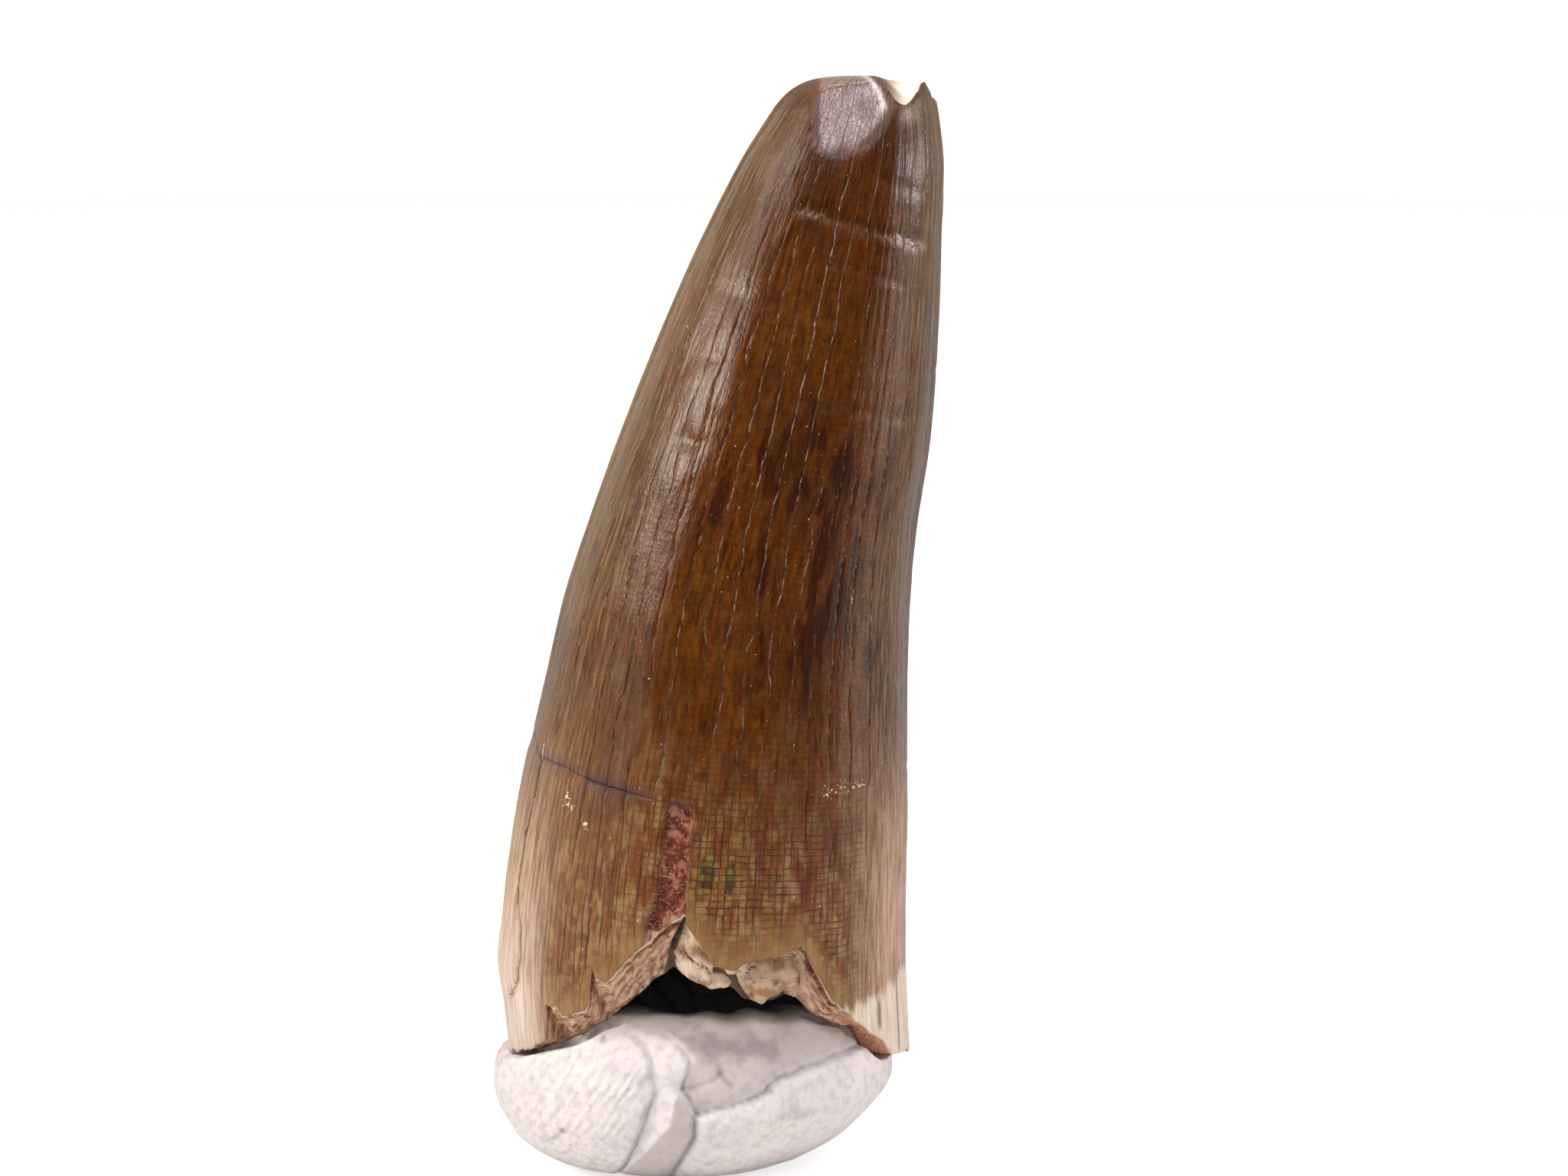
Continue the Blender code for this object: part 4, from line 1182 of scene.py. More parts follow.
# %% Cracks, ring, margins
CRACK_LINE = 0.032
DUST_LINE = 0.028
CRACK_DARK = (30, 14, 8)
DUST = (196, 168, 140)
RING_STAIN_AND_SHADE = (36, 17, 8)
RING_HIGHLIGHT = (176, 138, 116)
BRUISE = (70, 50, 54)
MAIN_RING_DARK = (38, 20, 20)
MARGIN = (158, 124, 74)
GREY_PINK_AND_SHEEN = (202, 168, 138)
FOOT_CREAM_AND_GLOW = (234, 216, 196)
LEFT_CREAM = (232, 214, 202)
SLIT_DARK = (104, 88, 50)
SIDE_CRACK_DARK = (50, 28, 16)
CREAM = (226, 204, 176)
STRIP_EDGE_SHADE = (52, 24, 16)
POLISH_SHEEN = (196, 168, 164)
GLEAM_HIGHLIGHT = (238, 216, 206)

edge_gap = paint.value("above_edge")
zone = paint.math("ADD", mm_up, paint.remap(clouds, 0.3, 0.7, -2.0, 2.0))
line_strength = paint.times(
    paint.remap(mm_up, 14.0, 21.0, 0.90, 0.24), paint.remap(edge_gap, 0.3, 1.8, 0.25, 1.0))

crack_share, crack_open = paint.pair("cracks")
crack_run = paint.times_plus(crack_share, float(CRACK_COUNT), 0.5)
crack_line = paint.times(paint.line(crack_run, CRACK_LINE), crack_open)
crack_dark = paint.times(
    crack_line, paint.remap(mm_up, 14.0, 20.0, 0.50, 0.72), paint.remap(mm_up, 37.0, 42.0, 1.0, 0.6))
dots = skin_grain(4.0, 2.6, 3.0)
dust = paint.times(
    paint.line(crack_run, DUST_LINE), crack_open, paint.rise(dots, 0.52, 0.58), paint.rise(mm_up, 16.5, 24.0))

from_ring = paint.math("ABSOLUTE", paint.value("ring_height"))
main_ring = paint.times(
    paint.remap(from_ring, 0.02, 0.07, 1.0, 0.0), paint.remap(turn_share, 0.46, 0.49, 1.0, 0.15),
    paint.remap(clouds, 0.36, 0.56, 0.35, 1.0))
bruise = paint.times(
    paint.remap(from_ring, 0.0, 0.55, 1.0, 0.0), paint.rise(clouds, 0.42, 0.58),
    paint.remap(turn_share, 0.45, 0.49, 0.75, 0.0))

margin = paint.times(
    paint.remap(edge_gap, 0.1, 1.7, 0.60, 0.0), paint.remap(streaks, 0.35, 0.6, 0.6, 1.0))
side_gap = paint.value("beside")
dust_gap = paint.math("ABSOLUTE", paint.math("SUBTRACT", side_gap, 0.7))
side_dust = paint.times(paint.remap(dust_gap, 0.3, 0.7, 0.85, 0.0), paint.rise(dots, 0.48, 0.56))
crumbs = paint.times_plus(paint.value("dusty"), 0.26, skin_grain(7.0, 7.0, 3.0))
enamel = paint.coats(
    lower,
    (paint.rise(zone, 13.0, 20.0), crown),
    (paint.times(lines, line_strength), LINE_RED),
    (crack_dark, CRACK_DARK),
    (paint.times(dust, 0.70), DUST),
    # Growth rings: dark line, part stain and part painted shade; pale patches, painted highlights.
    (paint.times(paint.value("ring_dark"), 0.85), RING_STAIN_AND_SHADE),
    (paint.times(paint.value("ring_pale"), paint.rise(dots, 0.44, 0.58, 0.50)), RING_HIGHLIGHT),
    (bruise, BRUISE),
    (paint.times(main_ring, 0.75), MAIN_RING_DARK),
    (margin, MARGIN),
    # Low flanks turn grey-pink: part pale colour, part painted sheen.
    (paint.times(paint.value("flank"), paint.remap(side_streaks, 0.38, 0.60, 0.30, 1.0)), GREY_PINK_AND_SHEEN),
    # Pale cream foot, and a painted highlight as a pale glow below the tip's broken valley.
    (paint.times(paint.value("pale"), paint.remap(side_streaks, 0.36, 0.60, 0.70, 0.97)), FOOT_CREAM_AND_GLOW),
    (paint.times(paint.value("left_foot"), paint.remap(side_streaks, 0.36, 0.62, 0.60, 1.0)), LEFT_CREAM),
    (paint.value("slit"), SLIT_DARK),
    (paint.remap(paint.math("ABSOLUTE", side_gap), 0.12, 0.42, 0.80, 0.0), SIDE_CRACK_DARK),
    (side_dust, CREAM),
    (paint.rise(skin_grain(4.5, 4.5, 1.0), 0.80, 0.83), CREAM),
    (paint.rise(crumbs, 0.72, 0.78), CREAM),
    # Painted shade: a dark line along the edges of the flaked strip.
    (paint.times(paint.value("rim"), 0.60), STRIP_EDGE_SHADE),
    # Painted sheen on the polished patch, and a painted highlight on its gleaming rim.
    (paint.times(paint.value("polish"), paint.rise(fine_streaks, 0.44, 0.62, 0.42)), POLISH_SHEEN),
    (paint.times(paint.value("gleam"), 0.45), GLEAM_HIGHLIGHT),
)

# %% [markdown]
# The dentine is cream with tan and pinkish fibres, and iron has stained some of it rusty. The fibres run
# along the slope of the break. Lumps of cream and tan rock lie on it; the crevices between them and one
# deep pit are painted dark brown as painted shade. Right under the enamel there is a thin white line,
# the enamel's own broken edge. Inside the cavity it is painted near-black as painted shade, and the
# chip at the tip is cream, painted near-white as painted light from above.

# %% Dentine
TAN_DENTINE = (134, 90, 60)
PALE_DENTINE = (216, 180, 148)
SALMON = (206, 148, 112)
MATRIX = (226, 202, 176)
MATRIX_TAN = (158, 122, 88)
PIT_SHADE_AND_SPECK = (60, 38, 22)
# Painted shade of the crevices and the pit, also used for dark specks of grit.
RUST_DARK = (72, 24, 15)
RUST = (128, 54, 28)
RUST_PALE = (190, 132, 104)
EDGE_WHITE = (242, 230, 210)
CAVITY_SHADE = (14, 8, 6)
CHIP_CREAM_AND_LIGHT = (250, 244, 222)

across = paint.value("across")
place = paint.place()
grit = paint.grain(place, 4.0, 3400.0, 0.65)
lumps = paint.grain(place, 3.0, 900.0)
sparkle = paint.grain(place, 2.0, 9000.0)
fibres = paint.grain(paint.joined(paint.times(turn_share, 150.0), paint.times(across, 8.0)), 4.0)
grit_swing = paint.math("SUBTRACT", grit, 0.5)

tan_share = paint.times_plus(paint.value("tan_lumps"), 0.55, paint.rise(lumps, 0.46, 0.64))
matrix = paint.mix(paint.math("MINIMUM", tan_share, 1.0), MATRIX, MATRIX_TAN)
# Painted shade in the crevices and the pit, broken up by grit.
dirt = paint.times_plus(grit_swing, 0.6, paint.value("crevice"))
pale_grit = paint.times_plus(lumps, 0.6, paint.times(grit, 0.6))
rusty = paint.coats(
    RUST_DARK,
    (paint.rise(grit, 0.38, 0.58), RUST),
    (paint.rise(pale_grit, 0.62, 0.72, 0.55), RUST_PALE),
    (paint.rise(sparkle, 0.56, 0.66, 0.7), RUST_PALE),
)
rust_share = paint.times_plus(grit_swing, 1.2, paint.value("rust"))
enamel_edge = paint.times(
    paint.remap(across, 0.03, 0.09, 1.0, 0.0), paint.rise(across, 0.0, 0.01),
    paint.remap(lumps, 0.44, 0.58, 0.25, 0.85))
dentine = paint.coats(
    TAN_DENTINE,
    (paint.rise(fibres, 0.36, 0.60), PALE_DENTINE),
    (paint.rise(lumps, 0.60, 0.70, 0.5), TAN_DENTINE),
    (paint.times(paint.value("foot_face"), 0.75), SALMON),
    (paint.value("matrix"), matrix),
    (paint.rise(dirt, 0.15, 0.75, 0.85), PIT_SHADE_AND_SPECK),
    (paint.rise(grit, 0.59, 0.65, 0.50), PIT_SHADE_AND_SPECK),
    (paint.rise(rust_share, 0.22, 0.60), rusty),
    (enamel_edge, EDGE_WHITE),
    # Painted shade: the cavity is painted near-black.
    (paint.times(paint.value("inside"), 0.97), CAVITY_SHADE),
    # The chip: cream, painted near-white as painted light from above.
    (paint.value("chip"), CHIP_CREAM_AND_LIGHT),
)

# %% [markdown]
# Last come the gloss and the fine relief. Each finish makes the enamel rougher or smoother, and each set
# of lines sinks into it.

# %% The finished shader of the tooth
ENAMEL_IOR = 1.5
MOST_ROUGH = 0.9
FINISH_ROUGHNESS = (("dull_flat", 0.30), ("polish", -0.03), ("gleam", -0.06), ("bare", 0.45))
ENAMEL_BUMP = 0.012

bare_share = paint.value("bare")
roughness = paint.math(
    "ADD", paint.remap(side_streaks, 0.36, 0.64, 0.19, 0.32), paint.remap(mm_up, 12.0, 20.0, 0.14, 0.0))
for finish, change in FINISH_ROUGHNESS:
    roughness = paint.times_plus(paint.value(finish), change, roughness)
paint.shade("Base Color", paint.mix(bare_share, enamel, dentine))
paint.shade("Roughness", paint.math("MINIMUM", roughness, MOST_ROUGH))
paint.shade("IOR", ENAMEL_IOR)

polished = paint.value("polish")
surface = paint.times_plus(skin_grain(9.0, 4.5, 1.0), 0.9, skin_grain(6.5, 0.9, 1.5))
surface = paint.times_plus(growth_lines, 0.5, surface)
surface = paint.times(surface, paint.remap(polished, 0.0, 1.0, 1.0, 0.55))
surface = paint.times_plus(paint.times(skin_grain(11.0, 7.0, 2.0), polished), 1.2, surface)
surface = paint.times(surface, paint.remap(paint.value("gleam"), 0.0, 1.0, 1.0, 0.5))
woven_grooves = paint.times(lines, paint.remap(mm_up, 15.0, 19.0, -0.2, 0.0))
bare_grit = paint.times(grit, bare_share)
for part, height in ((woven_grooves, 1.0), (crack_line, -1.8), (main_ring, -4.0), (bare_grit, 8.0)):
    surface = paint.times_plus(part, height, surface)
paint.bump(surface, ENAMEL_BUMP)
tooth.data.materials.append(paint.owner)
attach(tooth, "root")
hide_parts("tooth")

# %% [markdown]
# ## The lump of putty
#
# Putty that has been rolled, folded over and pressed keeps three marks: rounded lobes that overlap in
# creases, fingertip ridges, and soft dimples. The lump is a rolled skin too. Its upper side is a bowl
# inside the tooth and a shoulder under the broken wall. Its lower side curves in to a flat that stands
# on the table.

# %% The form of the putty
PUTTY_GIRTH = 8.4
PUTTY_GIRTH_HEIGHT = 3.65
PUTTY_SHIFT = -0.55
PUTTY_CREST = 7.5
PUTTY_CREST_RADIUS = 6.0
PUTTY_HOLLOW = 1.6
PUTTY_BACK_DROP = 1.2
PUTTY_SHOULDER_POWER = 2.2
PUTTY_FOOT = 4.3
PUTTY_FOOT_BACK = 0.2
PUTTY_POWER_LEFT = 2.0
PUTTY_POWER_RIGHT = 1.3
FLAP_TURN = -84.0
FLAP_WIDTH = 11.0
FLAP_RISE = 0.3
PUTTY_CLEARANCE = 0.10
PUTTY_LEFT_DROP = 0.5


def girth_radius(turn):
    """Distance from the base axis to the putty's widest line: a shifted circle with a pinched flap."""
    circle = PUTTY_GIRTH + PUTTY_SHIFT * np.sin(np.radians(turn))
    return circle + FLAP_RISE * hump(turn, FLAP_TURN, FLAP_WIDTH)


def wall_radius(turn):
    """Distance from the base axis to the inside of the tooth's wall at its foot."""
    point = cavity_wall(turn, np.zeros_like(turn))
    return np.hypot(point[..., 0] - BASE_X, point[..., 1] - BASE_Y)


def ceiling(turn):
    """Highest that the putty may reach under the tooth's broken edge: the lowest edge close by."""
    shifts = np.linspace(-2.0, 2.0, 9)
    turns = [(turn + shift + 180) % 360 - 180 for shift in shifts]
    return np.min([np.minimum(outer_edge(t), inner_edge(t)) for t in turns], axis=0) - PUTTY_CLEARANCE


def polar_point(turn, radius, height):
    """Point at a radius from the base axis."""
    angle = np.radians(turn)
    x = BASE_X + radius * np.sin(angle)
    y = BASE_Y - radius * np.cos(angle)
    return np.stack([x, y, height + 0 * x], axis=-1)


# %% [markdown]
# The fold lines are drawn as seen from the front, across and up, so that each lobe lies on the right
# hand of someone who walks along its line. A lobe starts with a small step at its line and rounds up
# further in, and a groove follows the line on the other side. The left lobe lies on the tongue, and the
# tongue on the right lobe.

# %% Folds and creases
LEFT_LOBE_EDGE = (
    (-5.6, 7.5), (-3.74, 6.93), (-3.00, 6.84), (-2.55, 6.60), (-2.32, 6.26), (-2.22, 5.86),
    (-2.31, 5.45), (-2.12, 5.16), (-2.15, 4.68), (-2.37, 4.04), (-2.65, 3.11), (-3.20, 1.69),
    (-3.60, 0.70), (-4.00, -0.50),
)
TONGUE_EDGE = (
    (-3.20, 7.15), (-2.00, 6.92), (-1.46, 6.74), (-1.07, 6.53), (-0.94, 6.27), (-0.72, 6.09),
    (-0.81, 5.56), (-1.06, 5.08), (-1.02, 4.85), (-0.72, 4.51), (-0.50, 4.04), (-0.41, 3.60),
    (-0.50, 2.93), (-0.83, 2.15), (-1.20, 1.34), (-1.41, 0.83), (-1.80, -0.50),
)
SEAM = (
    (-0.80, 3.75), (-0.41, 3.85), (0.47, 4.02), (1.00, 4.09), (1.56, 4.30), (2.19, 4.48), (2.45, 4.62),
    (2.62, 4.90), (3.10, 5.08), (3.82, 5.28), (4.74, 5.42), (5.58, 5.52), (6.60, 5.55), (8.50, 5.30),
)
TONGUE_CREST = (
    (-1.12, 5.00), (-1.25, 4.49), (-1.34, 3.67), (-1.88, 2.95), (-2.47, 2.11), (-2.92, 1.56),
    (-3.3, 0.8),
)
SMALL_CREASE = ((-1.06, 4.93), (-0.44, 5.01), (0.28, 5.25), (0.59, 5.50), (0.81, 5.23), (1.09, 5.00))
SMEAR = ((-0.60, 7.00), (-0.35, 6.80), (0.09, 6.38), (0.45, 5.95), (0.59, 5.60))
FLAP_CREASE = ((-9.40, 4.25), (-8.86, 4.35), (-8.47, 4.42), (-8.05, 4.80))
NICK = ((-5.47, 2.86), (-5.75, 2.45), (-6.09, 2.09))
# Fine creases: line, depth and half width
CREASES = ((SMALL_CREASE, 0.08, 0.11), (FLAP_CREASE, 0.12, 0.20), (NICK, 0.06, 0.09))
# Spots of dirt: across, up, half width, strength
SPOTS = (
    (-4.07, 6.70, 0.13, 1.0), (-5.47, 2.90, 0.12, 1.0), (3.60, 3.65, 0.35, 0.25),
    (2.91, 3.70, 0.25, 0.25), (-2.45, 5.30, 0.22, 0.5), (2.60, 4.75, 0.14, 0.6),
    (3.32, 6.87, 0.30, 0.45), (0.55, 5.62, 0.20, 0.4),
)
FINGER_DENT = (3.32, 6.87, 0.42)
LEFT_RISE = 0.50
TONGUE_RISE = 0.40
RIGHT_RISE = 0.45
GROOVE = 0.20
GROOVE_WIDTH = 0.30


def line_gap(across, up, points):
    """Distance from a fold line, positive on the right hand of someone who walks along it."""
    nearest, gap = np.full(across.shape, np.inf), np.zeros(across.shape)
    for (from_x, from_z), (to_x, to_z) in zip(points[:-1], points[1:]):
        length = np.hypot(to_x - from_x, to_z - from_z)
        along_x, along_z = (to_x - from_x) / length, (to_z - from_z) / length
        x, z = across - from_x, up - from_z
        walked = np.clip(x * along_x + z * along_z, 0.0, length)
        apart = np.hypot(x - walked * along_x, z - walked * along_z)
        gap = np.where(apart < nearest, apart * np.sign(along_z * x - along_x * z), gap)
        nearest = np.minimum(nearest, apart)
    return gap


def lobe(gap, rise, roundness):
    """Relief of a lobe: a third of its rise at once, the rest as it rounds up, and a groove outside."""
    rounded = rise * (1 - 0.65 * np.exp(-np.maximum(gap, 0) / roundness))
    groove = -GROOVE * np.exp(-np.maximum(-gap, 0) / GROOVE_WIDTH)
    return groove + (rounded - groove) * ease(gap, -0.04, 0.04)


def putty_gaps(across, up):
    """Distances inside the three lobes. The lines wander a little."""
    sideways = 0.05 * noise(across * 1.7, up * 1.7, 81)
    across, up = across + sideways, up + 0.05 * noise(across * 1.9, up * 1.9, 82)
    tongue = line_gap(across, up, TONGUE_EDGE)
    return line_gap(across, up, LEFT_LOBE_EDGE), tongue, np.minimum(line_gap(across, up, SEAM), -tongue)


def fold_relief(across, up):
    """Relief of the front: the lobes, the tongue's crest, two small creases and a fingertip dent."""
    left_lobe, tongue, right_lobe = putty_gaps(across, up)
    relief = lobe(left_lobe, LEFT_RISE, 1.1) + lobe(tongue, TONGUE_RISE, 0.5)
    relief = relief + lobe(right_lobe, RIGHT_RISE, 0.6)
    on_tongue = ease(tongue, 0.0, 0.15) * ease(-left_lobe, 0.0, 0.15) * (1 - ease(up, 4.5, 5.1))
    relief = relief + 0.24 * on_tongue * np.exp(-abs(line_gap(across, up, TONGUE_CREST)) / 0.35)
    for points, depth, width in CREASES:
        relief = relief - depth * hump(line_gap(across, up, points), 0.0, width)
    dent_x, dent_z, dent_width = FINGER_DENT
    return relief - 0.12 * hump(np.hypot(across - dent_x, up - dent_z), 0.0, dent_width)


def fold_shade_and_dirt(across, up):
    """Blue-grey darkening, part painted shade and part dirt, along the lobe edges and in the creases; dirt in
    a smear and in single spots.
    """
    left_lobe, tongue, right_lobe = putty_gaps(across, up)
    patchy = 0.6 + 0.6 * noise(across * 1.5, up * 1.5, 88)
    dirt = 0.55 * hump(left_lobe, -0.05, 0.10) + 0.6 * hump(tongue, -0.05, 0.10)
    dirt = (dirt + 0.45 * hump(line_gap(across, up, SMALL_CREASE), 0.0, 0.10)) * patchy
    dirt = dirt + (0.4 + 0.5 * patchy) * hump(right_lobe, -0.04, 0.08)
    dirt = dirt + 0.55 * hump(line_gap(across, up, SMEAR), 0.0, 0.13) * patchy
    dirt = dirt + 0.6 * hump(line_gap(across, up, FLAP_CREASE), 0.0, 0.14)
    dirt = dirt + 0.5 * hump(line_gap(across, up, NICK), 0.0, 0.07)
    for at_x, at_z, half_width, strength in SPOTS:
        dirt = dirt + strength * hump(np.hypot(across - at_x, up - at_z), 0.0, half_width)
    return np.clip(dirt, 0, 1)


def dimples(turn, height):
    """Soft unevenness all round, at three sizes."""
    large = 0.10 * turn_noise(turn, 22, height * 0.45, 84)
    small = 0.035 * turn_noise(turn, 60, height * 1.4, 85)
    return large + small + 0.012 * turn_noise(turn, 200, height * 4.5, 86) - 0.08


# %% The putty's skin
def putty_top(turn, s):
    """The upper side, from the axis at s = 0 to the girth at s = 1.

    A bowl rises to a crest inside the tooth. Past the crest it rolls over to the girth as a rounded
    shoulder, held under the tooth's broken edge wherever the wall stands on it. Beyond the wall on the
    left the shoulder is squashed lower.
    """
    inside_wall = wall_radius(turn) - PUTTY_CLEARANCE
    girth = girth_radius(turn)
    radius = np.where(s < 0.5, inside_wall * s / 0.5, inside_wall + (girth - inside_wall) * (s - 0.5) / 0.5)
    past = np.clip((radius - PUTTY_CREST_RADIUS) / (girth - PUTTY_CREST_RADIUS), 0.0, 1.0)
    roll = (1 - past ** PUTTY_SHOULDER_POWER) ** (1 / PUTTY_SHOULDER_POWER)
    bowl = PUTTY_HOLLOW * (1 - np.minimum(radius / PUTTY_CREST_RADIUS, 1.0) ** 2) ** 2
    crest = PUTTY_CREST - PUTTY_BACK_DROP * ease(-np.cos(np.radians(turn)), -0.8, 0.2)
    crest = crest + 0.12 * turn_noise(turn, 36, 2.0, 87) - 0.1
    height = PUTTY_GIRTH_HEIGHT + (crest - PUTTY_GIRTH_HEIGHT) * roll - bowl
    height = np.where(s > 0.5, np.minimum(height, ceiling(turn)), height)
    squashed = ease(radius, 8.55, 9.1) * hump(turn, -95.0, 35.0)
    height = height - PUTTY_LEFT_DROP * squashed * roll
    return polar_point(turn, radius, height)


def putty_side(turn, s):
    """From the girth at s = 0, curving in and down to the rim of the flat at s = 1."""
    lean = ease(np.sin(np.radians(turn)), -1.0, 1.0)
    power = PUTTY_POWER_LEFT + (PUTTY_POWER_RIGHT - PUTTY_POWER_LEFT) * lean
    angle = np.radians(turn)
    foot = PUTTY_FOOT + PUTTY_SHIFT * np.sin(angle) - PUTTY_FOOT_BACK * np.cos(angle)
    share = (1 - s ** power) ** (1 / power)
    radius = foot + (girth_radius(turn) - foot) * share
    return polar_point(turn, radius, PUTTY_GIRTH_HEIGHT * (1 - s))


def putty_base(turn, s):
    """The flat underneath, from its rim at s = 0 to the middle at s = 1."""
    rim = putty_side(turn, np.ones_like(turn))
    middle = np.array([BASE_X + PUTTY_SHIFT, BASE_Y + PUTTY_FOOT_BACK, 0.0])
    return rim + (middle - rim) * s[..., None]


# %% [markdown]
# The relief is worked out once for the whole skin, from the plain shape, and pushes it outwards. It
# fades to nothing inside the tooth and at the flat underneath. The darkening of the creases, part dirt
# and part painted shade, is worked out from the same places, so it lies in the creases.

# %% The putty's mesh
PUTTY_COLUMNS = 520
top_shares = np.concatenate([np.linspace(0, 0.5, 22), 1 - 0.5 * np.linspace(1, 0, 56)[1:] ** 2])
side_shares = np.sin(np.linspace(0, np.pi / 2, 96))[1:]
putty_turns = front_crowded_turns(PUTTY_COLUMNS)
upper = stretch(putty_top, putty_turns, top_shares)
side = stretch(putty_side, putty_turns, side_shares)
under = stretch(putty_base, putty_turns, np.linspace(0, 1, 6)[1:])
putty_points, putty_turn = joined_stretches(upper, side, under)[:2]
strength = np.concatenate([ease(upper[2], 0.5, 0.9), ease(1 - side[2], 0.0, 0.15), 0 * under[2]])
angle = np.radians(putty_turn)
front = ease(np.cos(angle), 0.05, 0.50)
putty_across, putty_up = putty_points[..., 0] - BASE_X, 1.0 * putty_points[..., 2]
push = (fold_relief(putty_across, putty_up) * front + dimples(putty_turn, putty_up)) * strength
putty_points[..., 0] += push * np.sin(angle)
putty_points[..., 1] -= push * np.cos(angle)

left_gap, tongue_gap, right_gap = putty_gaps(putty_across, putty_up)
# Painted shade: the part under the tooth, darker towards the top.
hollow = ease(-left_gap, 0.0, 0.4) * ease(-tongue_gap, 0.0, 0.4) * ease(-right_gap, 0.0, 0.4) * front
hollow = np.clip(hollow * (0.55 + 0.45 * ease(putty_up, 5.2, 6.8)) + ease(putty_up, 6.6, 7.4) * front, 0, 1)
# Painted shade: the lower part of the tongue past its crest, which faces down.
underside = ease(tongue_gap, 0.0, 0.1) * ease(-left_gap, 0.0, 0.1) * (1 - ease(putty_up, 4.6, 5.0)) * front
underside = underside * ease(-line_gap(putty_across, putty_up, TONGUE_CREST), -0.02, 0.12)
putty = fill_mesh(
    "mounting_putty",
    putty_points,
    maps={"unrolled": unrolled(putty_turn)},
    values={
        "dirt": fold_shade_and_dirt(putty_across, putty_up) * front,
        "hollow": hollow,
        "print": ease(left_gap, 0.1, 0.8) * front,
        "underside": underside,
    },
)

# %% [markdown]
# ## The putty's finish
#
# The putty is matte and nearly white. Its creases are blue-grey, part dirt and part painted shade. The
# part under the tooth and the undersides of the folds are painted darker as painted shade. Lilac and
# cream clouds lie over the rest, with a few dark specks. Fingertip ridges run up and to the right
# across the left lobe: a folded phase that grows by one from ridge to ridge.

# %% The putty's finish
WHITE_LOW = (222, 215, 215)
WHITE_HIGH = (234, 226, 221)
PUTTY_GREY = (180, 168, 166)
SHADE_UNDER_TOOTH_TAN = (166, 152, 142)
SMEAR_GREY = (132, 124, 126)
UNDERSIDE_SHADE_TAN = (182, 168, 160)
SPECK_GREY = (164, 158, 160)
SHADE_AND_DIRT_GREY = (128, 126, 128)
PUTTY_ROUGHNESS = 0.68
PRINT_SPACING = 0.36 * METRES_PER_MM
PRINT_RIGHT, PRINT_DOWN = 0.839, 0.545
PUTTY_BUMP = 0.09

clay = Nodes(bpy.data.materials.new("white_putty"))
spot = clay.place()
in_shade_under_tooth = clay.value("hollow")
smears = clay.times(in_shade_under_tooth, clay.rise(clay.grain(spot, 4.0, 520.0), 0.50, 0.64))
clay_specks = clay.grain(spot, 2.0, 900.0)
clay.shade("Base Color", clay.coats(
    WHITE_LOW,
    (clay.rise(clay.grain(spot, 4.0, 260.0), 0.35, 0.65), WHITE_HIGH),
    (clay.rise(clay.grain(spot, 3.0, 2600.0), 0.46, 0.64, 0.34), PUTTY_GREY),
    # Painted shade under the tooth.
    (clay.times(in_shade_under_tooth, 0.80), SHADE_UNDER_TOOTH_TAN),
    (clay.times(smears, 0.70), SMEAR_GREY),
    # Painted shade on the tongue's underside.
    (clay.times(clay.value("underside"), 0.60), UNDERSIDE_SHADE_TAN),
    (clay.rise(clay_specks, 0.62, 0.74, 0.35), SPECK_GREY),
    # Blue-grey in the creases, part dirt and part painted shade.
    (clay.times(clay.value("dirt"), 0.75), SHADE_AND_DIRT_GREY),
))
clay.shade("Roughness", PUTTY_ROUGHNESS)

across_prints = (PRINT_RIGHT / PRINT_SPACING, 0.0, -PRINT_DOWN / PRINT_SPACING)
print_run = clay.add("ShaderNodeVectorMath", {0: spot, 1: across_prints}, operation="DOT_PRODUCT")
bent_run = clay.math("ADD", print_run.outputs["Value"], clay.times(clay_specks, 1.2))
ridges = clay.times(
    clay.math("PINGPONG", bent_run, 0.5), clay.rise(clay.grain(spot, 3.0, 1100.0), 0.36, 0.62),
    clay.value("print"))
clay.bump(clay.times_plus(ridges, 1.5, clay.grain(spot, 5.0, 1300.0)), PUTTY_BUMP)
putty.data.materials.append(clay.owner)
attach(putty, "root")
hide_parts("putty")

# %% [markdown]
# ## Floor and light
#
# The photo was taken in bright, even light on white: the background is pure white, long soft
# highlights lie on the left and right facets, and the worn tip catches light from above. The side that
# faces the camera is dimmer, which keeps the brown of the enamel deep. So the surroundings are white
# except towards the front, and eight soft lights stand left, right and overhead. The surroundings and
# the floor are told apart by who looks: the camera sees plain white, and a reflection sees less of it.

# %% The floor
FLOOR_RADIUS = 0.6
FLOOR_SIDES = 96
FLOOR_DROP = 0.00002
FLOOR_GLOW = 0.62
FLOOR_ROUGHNESS = 0.8
FLOOR_WHITE = (0.92, 0.92, 0.92, 1.0)
FLOOR_MIRRORED = (0.08, 0.08, 0.08, 1.0)

bpy.ops.mesh.primitive_circle_add(
    vertices=FLOOR_SIDES, radius=FLOOR_RADIUS, fill_type="NGON", location=(0, 0, -FLOOR_DROP))
floor = bpy.context.object
floor.name = "floor"
table = Nodes(bpy.data.materials.new("white_table"))
table_ray = table.add("ShaderNodeLightPath").outputs
toward_back = table.add("ShaderNodeSeparateXYZ", {"Vector": table.place()}).outputs["Y"]
mirror_glow = table.times(table.remap(toward_back, -0.12, 0.0, 0.02, 0.45), table_ray["Is Glossy Ray"])
table.shade("Base Color", table.mix(table_ray["Is Glossy Ray"], FLOOR_WHITE, FLOOR_MIRRORED))
table.shade("Roughness", FLOOR_ROUGHNESS)
table.shade("Emission Color", (1.0, 1.0, 1.0, 1.0))
table.shade("Emission Strength", table.times_plus(table_ray["Is Camera Ray"], FLOOR_GLOW, mirror_glow))
floor.data.materials.append(table.owner)

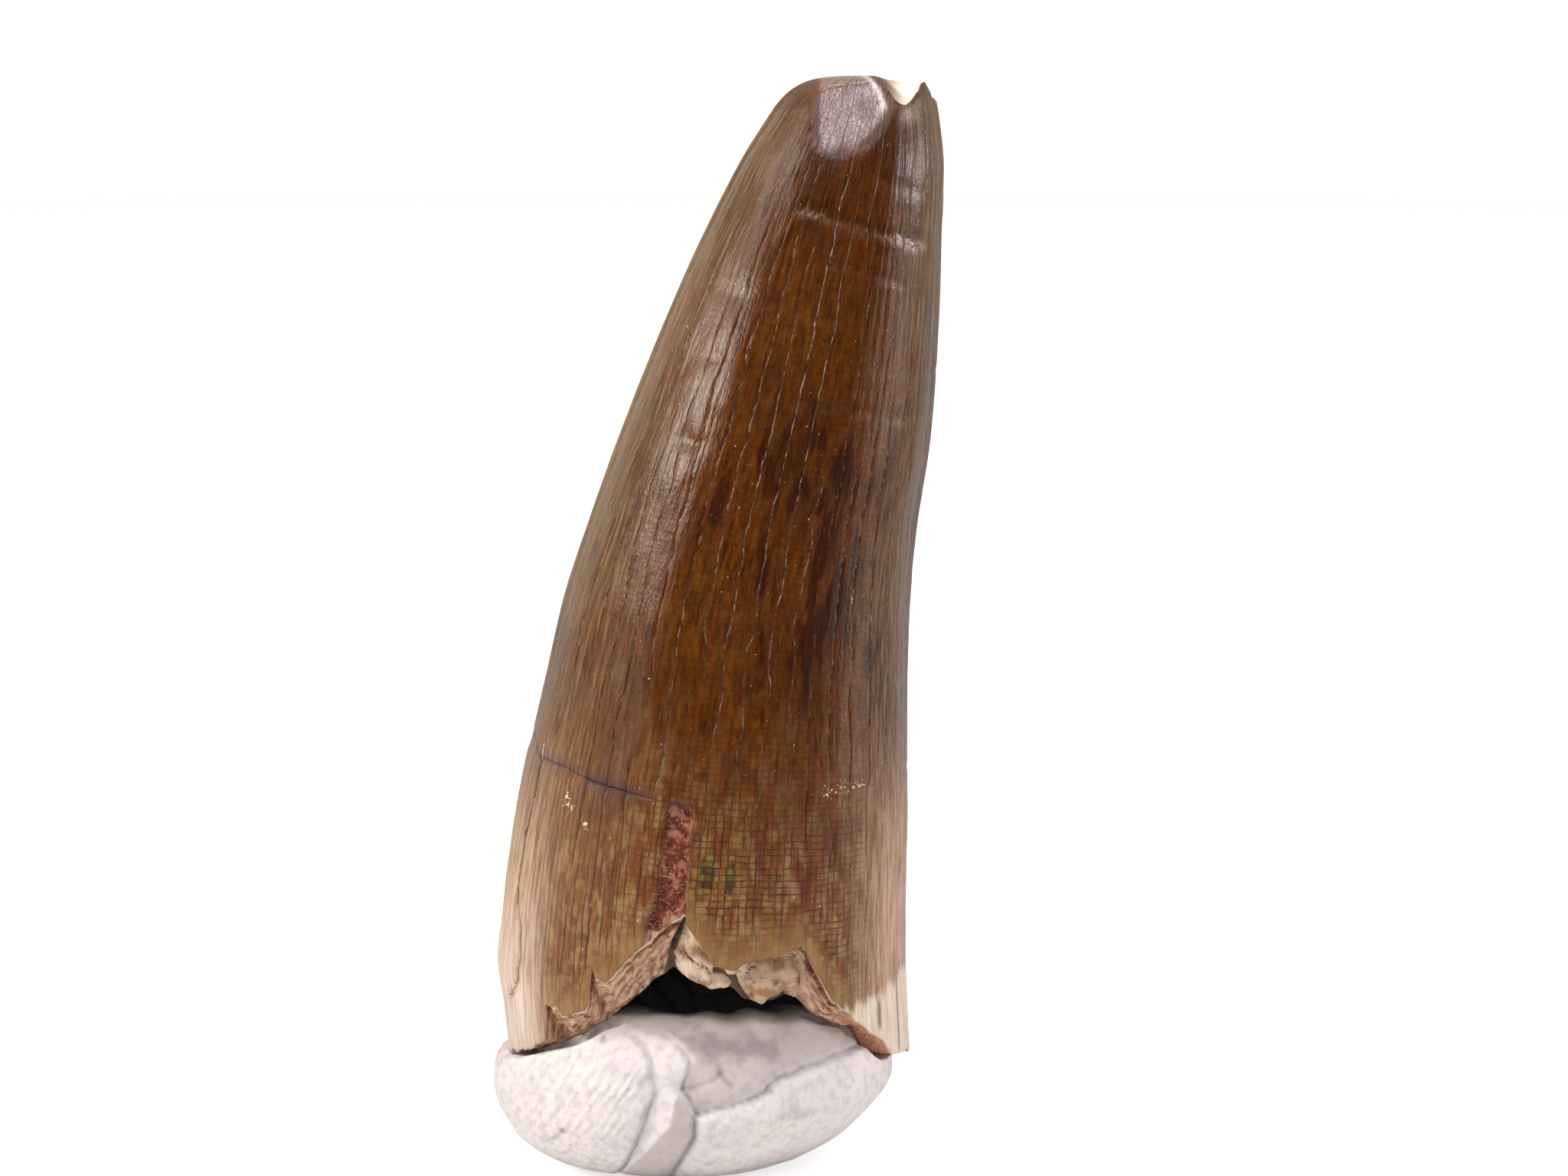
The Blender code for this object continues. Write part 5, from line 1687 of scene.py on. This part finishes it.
# %% The surroundings
FILL_ABOVE = 0.30
FILL_BELOW = 0.50
GLOSS_FRONT = 0.01
GLOSS_BACK = 0.85
BACKDROP = 1.20
SKY_TINT = (1.0, 0.98, 0.96, 1.0)
GLOSS_TINT = (1.0, 0.89, 0.70, 1.0)

sky = Nodes(bpy.data.worlds.new("white_surroundings"))
bpy.context.scene.world = sky.owner
direction = sky.add("ShaderNodeSeparateXYZ", {0: sky.add("ShaderNodeTexCoord").outputs["Generated"]}).outputs
sky_ray = sky.add("ShaderNodeLightPath").outputs
mirrored = sky.remap(direction["Y"], -0.60, 0.05, GLOSS_FRONT, GLOSS_BACK)
fill = sky.remap(direction["Z"], -0.2, 0.9, FILL_BELOW, FILL_ABOVE)
lit = sky.add("ShaderNodeMix", {0: sky_ray["Is Glossy Ray"], 2: fill, 3: mirrored}).outputs[0]
seen = sky.add("ShaderNodeMix", {0: sky_ray["Is Camera Ray"], 2: lit, 3: BACKDROP}).outputs[0]
background = sky.tree.nodes["Background"].inputs
sky.put(background["Strength"], seen)
sky.put(background["Color"], sky.mix(sky_ray["Is Glossy Ray"], SKY_TINT, GLOSS_TINT))

# %% The lights
WARM = (1.0, 0.95, 0.85)
PLAIN = (1.0, 0.96, 0.92)
LILAC = (0.98, 0.93, 1.0)
LIGHTS_AIM = (0.002, 0.0, 0.030)


def soft_light(name, turn, rise, away, size, power, colour):
    """A rectangular light facing the tooth: turn and rise in degrees, the rest in metres and watts."""
    lamp = bpy.data.objects.new(name, bpy.data.lights.new(name, "AREA"))
    lamp.data.shape = "RECTANGLE"
    lamp.data.size, lamp.data.size_y = size
    lamp.data.energy = power
    lamp.data.color = colour
    turn, rise = np.radians(turn), np.radians(rise)
    outwards = Vector((np.sin(turn) * np.cos(rise), -np.cos(turn) * np.cos(rise), np.sin(rise)))
    lamp.location = Vector(LIGHTS_AIM) + away * outwards
    lamp.rotation_euler = outwards.to_track_quat("Z", "Y").to_euler()
    bpy.context.scene.collection.objects.link(lamp)


# Name, turn, rise, distance, width and height, power and colour
LIGHTS = (
    ("left_light", -70.0, 23.5, 0.25, (0.10, 0.05), 0.20, WARM),
    ("left_high", -78.0, 44.0, 0.25, (0.09, 0.07), 0.09, WARM),
    ("left_fill", -60.0, -2.0, 0.30, (0.12, 0.10), 0.05, WARM),
    ("right_light", 90.0, 14.0, 0.25, (0.05, 0.04), 0.11, LILAC),
    ("right_fill", 84.0, -6.0, 0.25, (0.06, 0.07), 0.04, WARM),
    ("tip_light", -5.0, 65.0, 0.28, (0.05, 0.06), 0.40, LILAC),
    ("tip_high", 180.0, 84.0, 0.28, (0.05, 0.09), 0.20, LILAC),
    ("top_light", 180.0, 72.0, 0.30, (0.15, 0.15), 0.20, PLAIN),
)
for light in LIGHTS:
    soft_light(*light)
